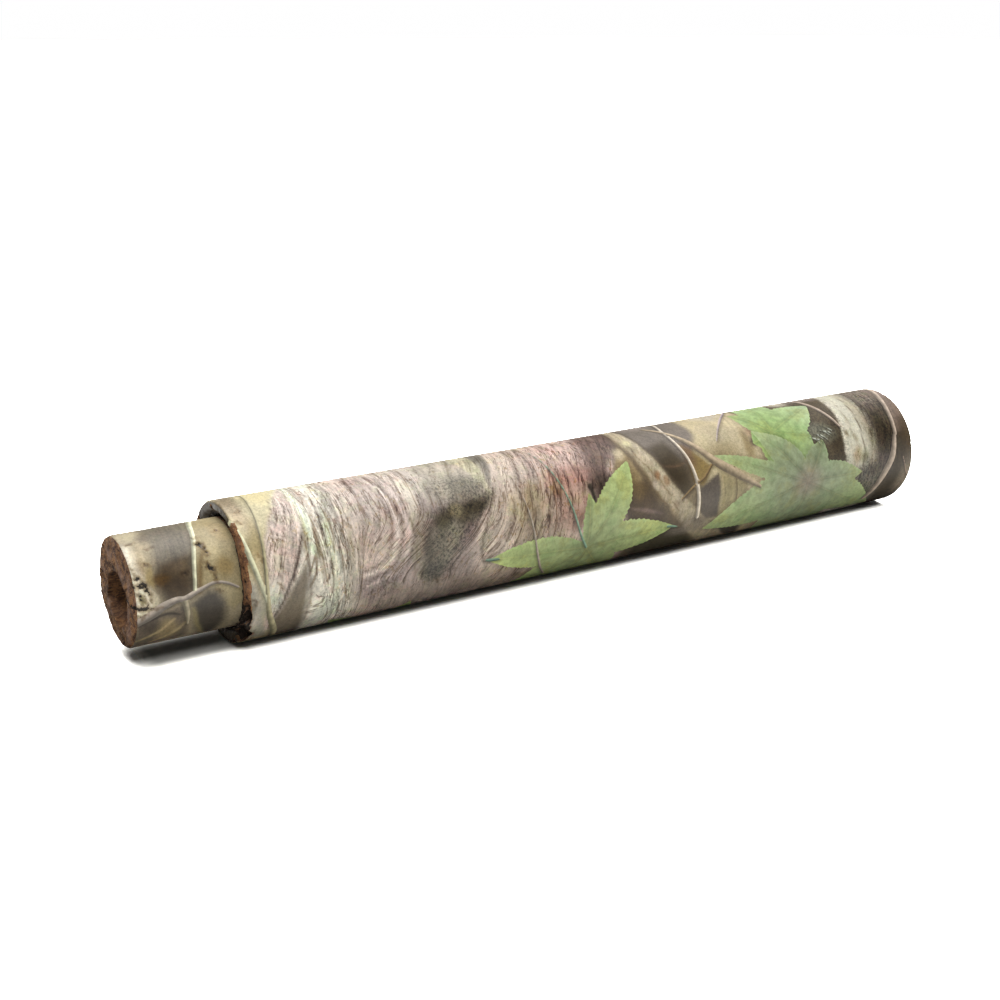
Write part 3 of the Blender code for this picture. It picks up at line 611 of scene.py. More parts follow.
def paint_back(film):
    """The side away from the camera: more of the same bark, hollows and branches."""
    patches = (  # place, size, colour, strength, tilt, grain
        ((0.6, 220), (0.5, 50), (156, 144, 112), 0.8, 0, 0.2),
        ((2.2, 236), (0.9, 30), MAUVE_BARK, 0.7, 0, 0.9), ((3.0, 290), (0.5, 22), KNOT, 0.9, -20, 0.6),
        ((4.6, 200), (0.8, 30), (130, 112, 100), 0.8, 0, 1.0),
        ((5.4, 262), (0.5, 34), RED_BARK, 0.7, 0, 1.0), ((4.2, 300), (0.4, 20), PALE_BARK, 0.7, 0, 1.0),
        ((6.9, 196), (0.7, 28), DARK, 0.8, 0, 0.2), ((7.3, 280), (0.5, 36), (110, 100, 88), 0.8, 0, 0.2),
        ((8.6, 222), (0.6, 30), OLIVE, 0.7, 0, 0.2), ((9.6, 300), (0.5, 26), STRAW, 0.7, 0, 0.3),
        ((9.8, 200), (0.6, 26), (88, 78, 60), 0.8, 0, 0.3),
        ((11.2, 236), (0.3, 60), (176, 170, 150), 0.8, 0, 0.7),
    )
    for patch in patches:
        film.patch(*patch)
    film.streak([(5.9, 330), (6.4, 290), (7.2, 250), (8.4, 228), (9.4, 196)], (0.22, 0.34, 0.36, 0.26),
                (160, 148, 126), 0.05, grain=0.4)
    film.streak([(9.7, 320), (10.3, 280), (10.4, 240), (10.9, 200)], (0.14, 0.22, 0.2), (150, 132, 112),
                0.04, grain=0.4)


def grow_barrel_leaves(film):
    """Maple leaves: three that show from the front, four more round the back."""
    leaves = (  # layer, place, lobes, colour, colour of the tips and of the heart, seed, size of the heart
        ("high", (5.5, 113),
         [(-87, 0.92, 0.13), (-54, 1.6, 0.3), (-2, 1.68, 0.31), (52, 1.25, 0.34), (98, 1.2, 0.34),
          (146, 1.4, 0.34), (185, 1.8, 0.27)],
         (150, 162, 114), (170, 184, 122), (136, 146, 108), 21, 0.45),
        ("high", (9.93, 92),
         [(-57, 0.8, 0.24), (1, 1.25, 0.28), (27, 2.05, 0.38), (95, 1.8, 0.78), (166, 2.2, 0.4),
          (201, 2.1, 0.15), (229, 1.4, 0.27)],
         (136, 146, 116), (156, 170, 122), (140, 122, 114), 33, 0.45),
        ("low", (9.4, 38),
         [(-128, 0.8, 0.22), (-82, 1.5, 0.34), (-23, 1.26, 0.36), (14, 0.8, 0.18), (47, 1.0, 0.5),
          (100, 0.7, 0.3), (165, 0.5, 0.24)],
         SPRING_LEAF, PALE_LEAF, (138, 162, 92), 45, 0.7),
        ("high", (2.4, 205),
         [(-80, 1.2, 0.26), (-35, 1.6, 0.28), (8, 1.5, 0.26), (50, 1.1, 0.22), (130, 1.0, 0.22),
          (178, 1.5, 0.28), (226, 1.6, 0.28)],
         LEAF, LEAF_TIP, LEAF_HEART, 57, 0.45),
        ("high", (7.6, 262),
         [(-60, 1.3, 0.24), (-15, 1.7, 0.28), (30, 1.6, 0.28), (76, 1.2, 0.24), (150, 1.0, 0.2),
          (200, 1.5, 0.26), (246, 1.4, 0.26)],
         (150, 168, 104), LEAF_TIP, LEAF_HEART, 69, 0.45),
        ("low", (4.5, 272),
         [(-100, 1.0, 0.24), (-52, 1.4, 0.28), (-8, 1.5, 0.28), (40, 1.2, 0.24), (96, 0.8, 0.2),
          (168, 1.2, 0.24), (215, 1.4, 0.28)],
         PALE_LEAF, LEAF_TIP, (132, 146, 96), 81, 0.45),
        ("low", (11.3, 272),
         [(-88, 0.9, 0.22), (-44, 1.2, 0.26), (4, 1.0, 0.24), (52, 1.1, 0.24), (120, 1.0, 0.22),
          (172, 1.4, 0.26), (222, 1.3, 0.26)],
         LEAF, PALE_LEAF, LEAF_HEART, 93, 0.45),
    )
    for leaf in leaves:
        film.maple(*leaf)


def grow_barrel_twigs(film):
    """Fine twigs and leaf stems, over the bark and mostly over the leaves."""
    twig = film.twig
    twig([(0.43, -40), (0.39, 0), (0.31, 50), (0.27, 82), (0.3, 108), (0.44, 134), (0.5, 160)],
         (0.03, 0.035, 0.045, 0.07, 0.1, 0.1), (164, 156, 124))
    twig([(-0.02, 26), (0.05, 48), (0.14, 74), (0.28, 101)], (0.05, 0.075, 0.075, 0.06), (192, 190, 160))
    twig([(4.92, 6), (5.02, 28), (5.18, 66), (5.34, 96), (5.5, 113)], (0.015, 0.025, 0.035, 0.045),
         (118, 146, 124))
    twig([(4.36, 34), (4.44, 64), (4.56, 100), (4.72, 124), (4.92, 142)], (0.012, 0.03, 0.04, 0.035),
         (160, 148, 134))
    twig([(7.58, -18), (7.45, 4), (7.44, 20), (7.55, 50), (7.6, 78), (7.61, 105)],
         (0.05, 0.05, 0.05, 0.055, 0.07, 0.075), (202, 190, 172))
    twig([(7.19, 0), (7.43, 14), (7.66, 29), (8.02, 54), (8.42, 71), (8.88, 87)],
         (0.05, 0.06, 0.08, 0.12, 0.17, 0.13, 0.06), (164, 147, 122))
    twig([(7.27, 84), (7.55, 74), (7.76, 68), (7.96, 58)], (0.04, 0.05, 0.05), (130, 108, 74))
    twig([(8.26, 36), (8.42, 24), (8.62, 12), (8.95, -6), (9.17, -20)], (0.03, 0.045, 0.05),
         (164, 150, 148), under_leaves=True)
    twig([(8.39, 64), (8.4, 82), (8.39, 98)], (0.012, 0.022, 0.012), (104, 84, 58))
    twig([(10.5, -12), (10.6, 9), (10.84, 44)], (0.07, 0.09, 0.05), ROSY_TWIG, under_leaves=True)
    twig([(12.26, -6), (12.14, 18), (12.06, 38), (12.0, 62)], (0.12, 0.09, 0.08), ROSY_TWIG)
    twig([(11.97, 64), (11.86, 84), (11.72, 100), (11.5, 130)], (0.08, 0.14, 0.15, 0.12), ROSY_TWIG)
    twig([(12.12, 86), (12.26, 104), (12.39, 112)], (0.02, 0.03, 0.02), (150, 128, 112))
    for i in range(10):  # pale pine needles over the dark hollow
        start = (10.1 + 0.045 * i, 50 + 1.6 * (i % 3) - 0.9 * i)
        end = (start[0] + 0.15, start[1] + 5 + 3 * (i % 2))
        middle = ((start[0] + end[0]) / 2 + 0.03, (start[1] + end[1]) / 2)
        twig([start, middle, end], (0.008, 0.018, 0.008), (190, 194, 180))
    twig([(3.68, 103), (3.76, 104), (3.92, 105)], (0.03, 0.06, 0.04), (104, 128, 112))
    twig([(7.04, 109), (7.14, 110), (7.26, 112)], (0.05, 0.05, 0.02), (118, 146, 124))
    twig([(2.0, 170), (2.2, 190), (2.4, 205)], (0.04, 0.05), STEM)
    twig([(6.9, 300), (7.2, 280), (7.6, 262)], (0.04, 0.05), (150, 140, 104))
    twig([(1.2, 200), (1.5, 240), (1.3, 280), (1.6, 320)], (0.07, 0.06, 0.05, 0.04), TWIG)
    twig([(3.3, 330), (3.5, 290), (3.4, 250), (3.8, 214), (4.6, 180)], (0.03, 0.05, 0.06, 0.05),
         (196, 184, 166))
    twig([(5.6, 320), (5.9, 270), (5.7, 230), (6.1, 190)], (0.03, 0.05, 0.06), ROSY_TWIG)
    twig([(8.9, 330), (9.1, 290), (9.0, 250), (9.5, 215)], (0.05, 0.06, 0.05), (190, 176, 152))
    twig([(11.9, 320), (11.8, 260), (12.0, 200)], (0.04, 0.06, 0.05), ROSY_TWIG)


def paint_barrel(points):
    """The tube's print, from the ground up."""
    film = Film(points, TAN, seed=3)
    fibre_slant(film)
    paint_background(film)
    paint_back(film)
    paint_mouth_end(film)
    paint_knot(film)
    paint_pink_trunk(film)
    paint_undergrowth(film)
    paint_far_end(film)
    grow_barrel_leaves(film)
    grow_barrel_twigs(film)
    return film


def paint_sleeve(points):
    """The sleeve's own piece of the same print: grey wood, a pale stem, tan ground and a forked branch.

    Its places are (depth from the sleeve's tip, angle).
    """
    film = Film(points, (150, 140, 120), seed=11, start=(SLEEVE_TIP_X - MOUTH_X) / TUBE_R)
    film.across = film.depth + 0.1 * np.sin(np.radians(film.angle - 60.0))
    patch, area, streak, twig = film.patch, film.area, film.streak, film.twig
    area([(0.35, -50), (1.12, -50), (0.98, 20), (0.86, 50), (0.8, 82), (0.4, 90), (0.3, 60),
         (0.36, 0)], (116, 109, 96), 0.12, grain=0.5)
    area([(0.42, 46), (0.88, 44), (0.8, 84), (0.44, 92), (0.34, 70)], (84, 71, 53), 0.12, grain=0.4,
         ragged=0.7)
    patch((0.44, 64), (0.12, 7), (92, 70, 34), 0.8)
    patch((0.62, 70), (0.1, 7), (70, 58, 44), 0.7)
    patch((0.72, 54), (0.08, 6), (108, 94, 74), 0.6)
    patch((0.2, 40), (0.16, 26), (172, 160, 134), 0.7, grain=0.5)
    patch((0.17, 46), (0.07, 8), (126, 104, 72), 0.6)
    patch((0.3, 58), (0.06, 12), (146, 130, 92), 0.7)
    patch((0.3, 12), (0.1, 8), (108, 98, 86), 0.6)
    patch((0.14, 2), (0.16, 12), (178, 170, 148), 0.6, grain=0.4)
    area([(-0.1, 16), (0.08, 24), (0.17, 60), (0.27, 84), (0.02, 106), (-0.1, 100)], (208, 202, 186),
         0.1, grain=0.4, ragged=0.8)
    patch((0.24, 84), (0.06, 7), (176, 168, 146), 0.7)
    patch((0.07, 81), (0.05, 5), (144, 140, 96), 0.6)
    area([(1.16, -50), (1.6, -50), (1.6, 104), (1.22, 104), (1.08, 78), (0.86, 80), (0.9, 50),
         (1.02, 10)], (154, 143, 115), 0.05, grain=0.12)
    streak([(1.06, 34), (0.97, 52), (0.91, 66), (0.87, 84)], (0.02, 0.05, 0.06, 0.05), (112, 92, 58),
           0.04, 0.8)
    patch((1.26, 62), (0.1, 9), (142, 122, 82), 0.6)
    patch((1.36, 20), (0.12, 14), (150, 132, 96), 0.5)
    patch((1.16, 44), (0.1, 12), (182, 170, 140), 0.6)
    area([(0.0, 104), (0.7, 92), (0.72, 140), (0.0, 150)], (112, 102, 90), 0.06, grain=0.3)
    patch((0.18, 114), (0.14, 8), (84, 76, 68), 0.8)
    patch((0.42, 122), (0.12, 14), (150, 136, 106), 0.7)
    streak([(0.04, 132), (0.3, 122), (0.52, 108)], (0.03, 0.05, 0.03), (176, 160, 128), 0.03, 0.85)
    streak([(0.26, 140), (0.5, 128), (0.66, 116)], (0.03, 0.06, 0.03), (170, 156, 126), 0.03, 0.85)
    streak([(0.2, 104), (0.44, 100), (0.6, 104)], (0.03, 0.05, 0.03), (52, 43, 34), 0.03, 0.9)
    area([(0.76, 94), (0.98, 84), (1.12, 86), (1.22, 100), (1.24, 124), (1.16, 146), (0.95, 150),
         (0.8, 124)], (78, 72, 64), 0.1, grain=0.12)
    streak([(0.78, 100), (0.82, 118), (0.92, 136), (1.0, 150)], (0.05, 0.06, 0.05), (138, 128, 98), 0.04,
           0.8)
    patch((1.32, 96), (0.08, 12), (142, 132, 104), 0.7)
    patch((0.7, 220), (0.8, 50), (134, 122, 98), 0.8, grain=0.3)
    patch((0.5, 300), (0.4, 40), (110, 104, 92), 0.7, grain=0.5)
    twig([(1.17, -26), (1.04, 0), (0.975, 23), (0.905, 42), (0.845, 60), (0.8, 82)],
         (0.085, 0.075, 0.06, 0.055, 0.05), (206, 204, 174))
    twig([(0.0, 104), (0.2, 98), (0.36, 91), (0.54, 87), (0.66, 87), (0.8, 83), (0.93, 80), (1.08, 77),
         (1.23, 79), (1.4, 86)], (0.16, 0.16, 0.11, 0.09, 0.07, 0.05, 0.04), (168, 156, 144))
    twig([(0.66, 90), (0.69, 104), (0.7, 118)], (0.08, 0.07, 0.03), (160, 150, 126))
    twig([(0.1, 190), (0.5, 220), (0.9, 250), (1.4, 262)], (0.05, 0.07, 0.05), ROSY_TWIG)
    twig([(1.2, 190), (0.9, 230), (1.0, 300), (1.1, 330)], (0.05, 0.06, 0.08), (196, 194, 164))
    gain, contrast, lightest = 1.36, 1.26, 0.8
    film.colour = np.clip(gain * film.colour**contrast, 0.0, lightest)
    return film


# ---------------------------------------------------------------- turned meshes and damage


def spun(profile, around):
    """Points and quads of an outline of (x, radius) rows spun round the call's axis."""
    rows = np.array(profile)
    angles = 2 * math.pi * np.arange(around) / around
    x = np.repeat(rows[:, 0], around)
    radius = np.repeat(rows[:, 1], around)
    turn = np.tile(angles, len(rows))
    points = np.column_stack([x, -radius * np.sin(turn), AXIS_Z + radius * np.cos(turn)])
    index = np.arange(len(rows) * around).reshape(len(rows), around)
    return points, index


def quads_between(index, closed):
    """Faces joining neighbouring rows of a grid of point numbers that wraps round its second axis."""
    low = index if closed else index[:-1]
    high = np.roll(index, -1, axis=0) if closed else index[1:]
    faces = np.stack([low, np.roll(low, -1, axis=1), np.roll(high, -1, axis=1), high], axis=-1)
    return faces.reshape(-1, 4)


def steps(start, end, count):
    """Evenly spaced values from start towards end, without the end itself."""
    return [start + (end - start) * i / count for i in range(count)]


def edge_round(x, radius, size, inward, count=5):
    """Quarter round between a flat end face at x and the round side; inward is +1 or -1 along X."""
    angles = [math.pi / 2 * i / count for i in range(count)]
    return [(x + inward * size * (1 - math.cos(a)), radius - size * (1 - math.sin(a))) for a in angles]


class Damage:
    """Chips and pits in a surface: they move its points and mark where the film is gone."""

    def __init__(self, points):
        self.points = points.copy()
        self.bare = np.zeros(len(points))
        self.dirt_and_shade = np.zeros(len(points))
        self.rust = np.zeros(len(points))
        self.halo = np.zeros(len(points))

    def store(self, mesh):
        """Writes the damage and painted light to the mesh's points: no film, black where dirty and in
        painted shade, orange wood (partly painted light in the sleeve's bore), brown stain.
        """
        wear_and_painted_light = np.column_stack([self.bare, self.dirt_and_shade, self.rust, self.halo])
        whole = np.zeros((len(mesh.vertices), 4))
        whole[:, 0] = 1.0
        whole[: len(wear_and_painted_light)] = wear_and_painted_light
        write_attribute(mesh, "wear_and_painted_light", "FLOAT_COLOR", whole)

    def chip(self, x, angle, radius, size, push, bare=1.0, dirt_and_shade=0.6, stretch=(1.0, 1.0, 1.0), seed=0):
        """Pushes the points near a place by a vector given as (along X, outwards)."""
        turn = math.radians(angle)
        out = np.array([0.0, -math.sin(turn), math.cos(turn)])
        tangent = np.array([0.0, -math.cos(turn), -math.sin(turn)])
        centre = np.array([x, 0.0, AXIS_Z]) + radius * out
        gap = self.points - centre
        ragged = 1 + 0.9 * (fractal(self.points, 900, 40 + seed, 2) - 0.5)
        scaled = np.column_stack([gap[:, 0], gap @ out, gap @ tangent]) / stretch
        away = np.linalg.norm(scaled, axis=1) / size * ragged
        weight = smooth(1.0, 0.45, away)
        self.points += weight[:, None] * (np.array([push[0], 0, 0]) + push[1] * out)
        self.bare = np.maximum(self.bare, bare * smooth(1.12, 0.9, away))
        # dark inside the chip: dirty, and in painted shade
        self.dirt_and_shade = np.maximum(self.dirt_and_shade, dirt_and_shade * smooth(0.95, 0.4, away))
        self.halo = np.maximum(self.halo, 0.7 * smooth(1.9, 1.0, away))

    def crack(self, x, places, widths, sink):
        """A ragged dark crack along a curve of (tube radii from x, angle); widths are in tube radii too."""
        along = (self.points[:, 0] - x) / TUBE_R
        _, angle, _ = unrolled(self.points)
        around = arc(angle, places[0][1])
        wobble = 0.05 * (fractal(self.points, 1300, 61, 2) - 0.5)
        flat = [(d, arc(a, places[0][1])) for d, a in places]
        edge, _ = beside_curve(along + wobble, around - wobble, flat, widths)
        edge += 0.075 * (fractal(self.points, 2100, 62, 2) - 0.5) + 0.012
        weight = smooth(0.008, -0.012, edge)
        self.points -= (weight * sink)[:, None] * outwards(self.points)
        self.dirt_and_shade = np.maximum(self.dirt_and_shade, smooth(0.045, -0.045, edge))
        self.halo = np.maximum(self.halo, smooth(0.08, 0.0, edge))


def roughen(points, mask, rate, size, seed, directions):
    """Moves masked points by a random field, along the given unit vectors."""
    field = fractal(points, rate, seed, 4) - 0.5
    return points + (mask * field * 2 * size)[:, None] * directions


def outwards(points):
    """Unit vectors from the axis to each point."""
    away = points - np.array([0.0, 0.0, AXIS_Z])
    away[:, 0] = 0.0
    return away / np.maximum(np.linalg.norm(away, axis=1), 1e-9)[:, None]


ALONG = np.array([1.0, 0.0, 0.0])
SHARP = math.radians(50)  # edges sharper than this aren't shaded smooth


def new_piece(name, points, faces, body, replaced, slot):
    """A piece from points and faces."""
    mesh = bpy.data.meshes.new(name)
    mesh.from_pydata([tuple(p) for p in points], [], [tuple(int(i) for i in f) for f in faces])
    bm = bmesh.new()
    bm.from_mesh(mesh)
    bmesh.ops.recalc_face_normals(bm, faces=bm.faces)
    bm.to_mesh(mesh)
    bm.free()
    return adopt(name, mesh, body, replaced, slot)


def adopt(name, mesh, body, replaced, slot):
    """Puts a finished mesh in the scene, on a body, in place of a CAD node, with its slot's material."""
    mesh.shade_smooth()
    mesh.set_sharp_from_angle(angle=SHARP)
    mesh.materials.append(MATERIALS[slot])
    piece = bpy.data.objects.new(name, mesh)
    bpy.context.scene.collection.objects.link(piece)
    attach(piece, body)
    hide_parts(replaced)
    return piece


def mesh_points(mesh):
    """A mesh's points as rows."""
    flat = np.zeros(len(mesh.vertices) * 3, np.float32)
    mesh.vertices.foreach_get("co", flat)
    return flat.reshape(-1, 3).astype(float)


# ---------------------------------------------------------------- material building


class Nodes:
    """Builds one material's node tree. Every method that makes a value returns its output socket."""

    def __init__(self, name):
        self.material = bpy.data.materials.new(name)
        self.material.use_nodes = True
        self.tree = self.material.node_tree
        self.shader = self.tree.nodes["Principled BSDF"]
        self.place = self.add("ShaderNodeTexCoord").outputs["Object"]

    def add(self, kind, **settings):
        node = self.tree.nodes.new(kind)
        for name, value in settings.items():
            setattr(node, name, value)
        return node

    def put(self, socket, value):
        if isinstance(value, bpy.types.NodeSocket):
            self.tree.links.new(value, socket)
        elif isinstance(value, (int, float)):
            socket.default_value = value
        else:
            value = tuple(float(v) for v in value)
            socket.default_value = value + (1.0,) if len(socket.default_value) > len(value) else value

    def calc(self, operation, *values):
        node = self.add("ShaderNodeMath", operation=operation)
        for socket, value in zip(node.inputs, values, strict=False):
            self.put(socket, value)
        return node.outputs[0]

    def times(self, first, second):
        return self.calc("MULTIPLY", first, second)

    def plus(self, first, second):
        return self.calc("ADD", first, second)

    def minus(self, first, second):
        return self.calc("SUBTRACT", first, second)

    def step(self, value, low, high, to_low=0.0, to_high=1.0):
        """Soft step of a value between two thresholds; low may be the larger."""
        node = self.add("ShaderNodeMapRange", interpolation_type="SMOOTHSTEP")
        flip = low > high
        self.put(node.inputs["Value"], value)
        self.put(node.inputs["From Min"], high if flip else low)
        self.put(node.inputs["From Max"], low if flip else high)
        self.put(node.inputs["To Min"], to_high if flip else to_low)
        self.put(node.inputs["To Max"], to_low if flip else to_high)
        return node.outputs["Result"]

    def mix(self, factor, first, second, blend="MIX"):
        node = self.add("ShaderNodeMix", data_type="RGBA", blend_type=blend)
        self.put(node.inputs[0], factor)
        self.put(node.inputs[6], first)
        self.put(node.inputs[7], second)
        return node.outputs[2]

    def tint(self, colour, value):
        """A colour times a number."""
        node = self.add("ShaderNodeVectorMath", operation="SCALE")
        self.put(node.inputs[0], colour)
        self.put(node.inputs[3], value)
        return node.outputs[0]

    def stretch(self, vector, scale):
        node = self.add("ShaderNodeVectorMath", operation="MULTIPLY")
        self.put(node.inputs[0], vector)
        self.put(node.inputs[1], scale)
        return node.outputs[0]

    def dye(self, share, colour, tints):
        """Takes a colour towards its product with tints, by a share."""
        return self.mix(share, colour, self.stretch(colour, tints))

    def join(self, x, y, z):
        node = self.add("ShaderNodeCombineXYZ")
        for socket, value in zip(node.inputs, (x, y, z), strict=True):
            self.put(socket, value)
        return node.outputs[0]

    def split(self, vector):
        node = self.add("ShaderNodeSeparateXYZ")
        self.put(node.inputs[0], vector)
        return node.outputs

    def noise(self, vector, scale=1.0, detail=3.0, roughness=0.5, distortion=0.0):
        node = self.add("ShaderNodeTexNoise")
        self.put(node.inputs["Vector"], vector)
        self.put(node.inputs["Scale"], scale)
        self.put(node.inputs["Detail"], detail)
        self.put(node.inputs["Roughness"], roughness)
        self.put(node.inputs["Distortion"], distortion)
        return node.outputs["Fac"]

    def cells(self, vector, scale, feature="F1"):
        node = self.add("ShaderNodeTexVoronoi", feature=feature)
        self.put(node.inputs["Vector"], vector)
        self.put(node.inputs["Scale"], scale)
        return node.outputs

    def stored(self, name):
        return self.add("ShaderNodeAttribute", attribute_name=name).outputs

    def bump(self, height, distance, strength=1.0, under=None):
        node = self.add("ShaderNodeBump")
        self.put(node.inputs["Height"], height)
        self.put(node.inputs["Distance"], distance)
        self.put(node.inputs["Strength"], strength)
        if under is not None:
            self.put(node.inputs["Normal"], under)
        return node.outputs["Normal"]

    def finish(self, colour, roughness, normal=None, metallic=0.0, specular=0.5):
        self.put(self.shader.inputs["Base Color"], colour)
        self.put(self.shader.inputs["Roughness"], roughness)
        self.put(self.shader.inputs["Metallic"], metallic)
        self.put(self.shader.inputs["Specular IOR Level"], specular)
        if normal is not None:
            self.put(self.shader.inputs["Normal"], normal)
        return self.material


def leaf_layer(n, under, layer):
    """Lays one layer of leaves over a colour, with their veins."""
    u, v, edge = n.split(n.stored(f"leaf_{layer}")["Vector"])
    flesh = n.stored(f"leaf_{layer}_colour")["Color"]
    sector = 2 * math.pi / Film.LOBES
    away = n.calc("SQRT", n.plus(n.times(u, u), n.times(v, v)))
    turns = n.calc("DIVIDE", n.calc("ARCTAN2", v, u), sector)
    off = n.times(n.minus(turns, n.calc("ROUND", turns)), sector)
    side = n.calc("ABSOLUTE", n.times(away, n.calc("SINE", off)))
    ahead = n.times(away, n.calc("COSINE", off))
    main = n.times(n.step(side, 0.016, 0.004), n.step(away, 1.9, 0.4, 0.25, 0.7))
    flank = n.times(n.step(side, 0.085, 0.015), n.step(away, 2.0, 0.4, 0.15, 0.6))
    phase = n.calc("FRACT", n.times(n.minus(ahead, side), 6.5))
    ribs = n.step(n.calc("ABSOLUTE", n.minus(phase, 0.5)), 0.09, 0.03)
    ribs = n.times(ribs, n.step(side, 0.5, 0.05, 0.0, 0.5))
    mottle = n.noise(n.place, 520.0, 5.0, 0.7)
    flesh = n.tint(flesh, n.step(mottle, 0.3, 0.7, 0.8, 1.2))
    patches = n.noise(n.place, 150.0, 4.0, 0.62)
    flesh = n.dye(n.step(patches, 0.5, 0.64, 0.0, 0.6), flesh, (1.06, 0.95, 0.76))
    flesh = n.dye(n.step(patches, 0.47, 0.34, 0.0, 0.6), flesh, (0.78, 0.9, 0.82))
    flesh = n.dye(ribs, flesh, (0.8, 0.84, 0.76))
    flesh = n.dye(flank, flesh, (0.62, 0.64, 0.6))
    flesh = n.dye(main, flesh, (1.3, 1.16, 1.14))
    rim = n.step(edge, -0.05, -0.005)
    flesh = n.dye(n.times(rim, 0.3), flesh, (1.25, 1.3, 1.2))
    under = n.dye(n.step(edge, 0.1, 0.0, 0.0, 0.42), under, (0.44, 0.41, 0.37))
    return n.mix(n.step(edge, 0.007, -0.007), under, flesh)


def bare_wood(n, rate=1.0):
    """Colour and height of the rough red-brown wood under the film. Its grain runs along X."""
    fibres = n.noise(n.stretch(n.place, (180 * rate, 2600 * rate, 2600 * rate)), 1.0, 4.0, 0.6, 0.4)
    lumps = n.noise(n.place, 420.0 * rate, 5.0, 0.62)
    colour = n.mix(n.step(lumps, 0.38, 0.6), ink(76, 52, 38), ink(148, 108, 74))
    colour = n.mix(n.step(fibres, 0.52, 0.66, 0.0, 0.7), colour, ink(186, 148, 112))
    colour = n.mix(n.step(fibres, 0.44, 0.34, 0.0, 0.75), colour, ink(50, 35, 26))
    mauve = n.noise(n.place, 190.0 * rate, 3.0)
    colour = n.mix(n.step(mauve, 0.48, 0.62, 0.0, 0.6), colour, ink(142, 116, 104))
    colour = n.mix(n.step(mauve, 0.46, 0.34, 0.0, 0.5), colour, ink(64, 44, 34))
    height = n.plus(n.times(fibres, 0.6), n.times(lumps, 0.8))
    return colour, height


def bark_fibres(n, rate, along, detail, roughness, distortion, shift=0.0):
    """Noise drawn out round the tube, with rate lumps in a tube radius across a fibre and along down it."""
    across, _, _ = n.split(n.stored("fibre")["Vector"])
    _, y, z = n.split(n.place)
    vector = n.join(
        n.plus(n.times(across, rate), shift), n.times(y, along / TUBE_R), n.times(z, along / TUBE_R)
    )
    return n.noise(vector, 1.0, detail, roughness, distortion)


def bark_tone(n, grain, plates):
    """How light the printed bark is: fibres where it has grain, flecks where it has speckle."""
    _, speckle, _ = n.split(n.stored("fibre")["Vector"])
    relief = n.minus(
        bark_fibres(n, 8.0, 1.6, 4.0, 0.58, 0.6, 7.0), bark_fibres(n, 8.0, 1.6, 4.0, 0.58, 0.6, 7.25)
    )
    fields = (
        (bark_fibres(n, 8.0, 1.2, 3.0, 0.55, 0.5), 0.8),
        (plates, 0.9),
        (bark_fibres(n, 21.0, 5.0, 3.0, 0.6, 0.8, 4.0), 0.55),
        (n.noise(n.place, 950.0, 4.0, 0.7), 0.9),
    )
    clouds = ((n.noise(n.place, 170.0, 4.0, 0.6), 0.75), (n.noise(n.place, 2600.0, 2.0, 0.7), 0.45))
    flecks = n.noise(n.place, 1400.0, 3.0, 0.8)
    tone = n.times(relief, 1.6)
    for field, weight in fields:
        tone = n.plus(tone, n.times(n.minus(field, 0.5), weight))
    tone = n.calc("MULTIPLY_ADD", tone, grain, 1.0)
    tone = n.calc("MULTIPLY_ADD", n.step(flecks, 0.34, 0.66, -0.62, 0.62), speckle, tone)
    for field, weight in clouds:
        tone = n.plus(tone, n.times(n.minus(field, 0.5), weight))
    return n.calc("MAXIMUM", n.calc("MINIMUM", tone, 1.34), 0.3)


def crack_lines(n, rate, along, width, shift):
    """Thin broken lines between plates of bark, and the light edge beside them."""
    broken = n.step(n.noise(n.place, 260.0, 3.0), 0.38, 0.54)
    lines = []
    for nudge in (0.0, 0.22):
        field = bark_fibres(n, rate, along, 3.0, 0.55, 0.5, shift + nudge)
        off = n.calc("ABSOLUTE", n.minus(field, 0.5))
        lines.append(n.times(n.step(off, width, width * 0.3), broken))
    return lines


def bark_layer(n):
    """The painted ground with its bark: tone, stains, hollows and cracks."""
    ground = n.stored("print_colour")
    grain = ground["Alpha"]
    plates = bark_fibres(n, 4.5, 0.4, 2.0, 0.5, 0.3, 11.0)
    colour = n.tint(ground["Color"], bark_tone(n, grain, plates))
    stains = (  # rate, detail and roughness of a noise, its threshold, and the stain's tint
        (240.0, 4.0, 0.65, 0.5, 0.62, (0.93, 1.03, 0.86)),
        (330.0, 3.0, 0.6, 0.48, 0.38, (1.09, 0.97, 0.98)),
        (560.0, 3.0, 0.6, 0.6, 0.68, (0.82, 0.72, 0.45)),
    )
    for rate, detail, roughness, low, high, tints in stains:
        field = n.noise(n.place, rate, detail, roughness)
        colour = n.dye(n.times(n.step(field, low, high, 0.0, 0.6), grain), colour, tints)
    barky = n.step(grain, 0.3, 1.15)
    hollow = n.times(n.step(bark_fibres(n, 9.0, 2.2, 4.0, 0.62, 0.9, 9.0), 0.43, 0.35), barky)
    colour = n.dye(n.times(hollow, 0.65), colour, (0.36, 0.3, 0.25))
    groove = n.times(n.step(n.calc("ABSOLUTE", n.minus(plates, 0.44)), 0.017, 0.004), barky)
    colour = n.dye(n.times(groove, 0.85), colour, (0.4, 0.32, 0.24))
    for rate, along, width, shift in ((5.0, 0.45, 0.018, 2.0), (11.0, 2.2, 0.024, 5.0)):
        line, edge = crack_lines(n, rate, along, width, shift)
        colour = n.dye(n.times(n.times(edge, barky), 0.55), colour, (1.35, 1.35, 1.35))
        colour = n.dye(n.times(n.times(line, barky), 0.85), colour, (0.3, 0.23, 0.19))
    return colour


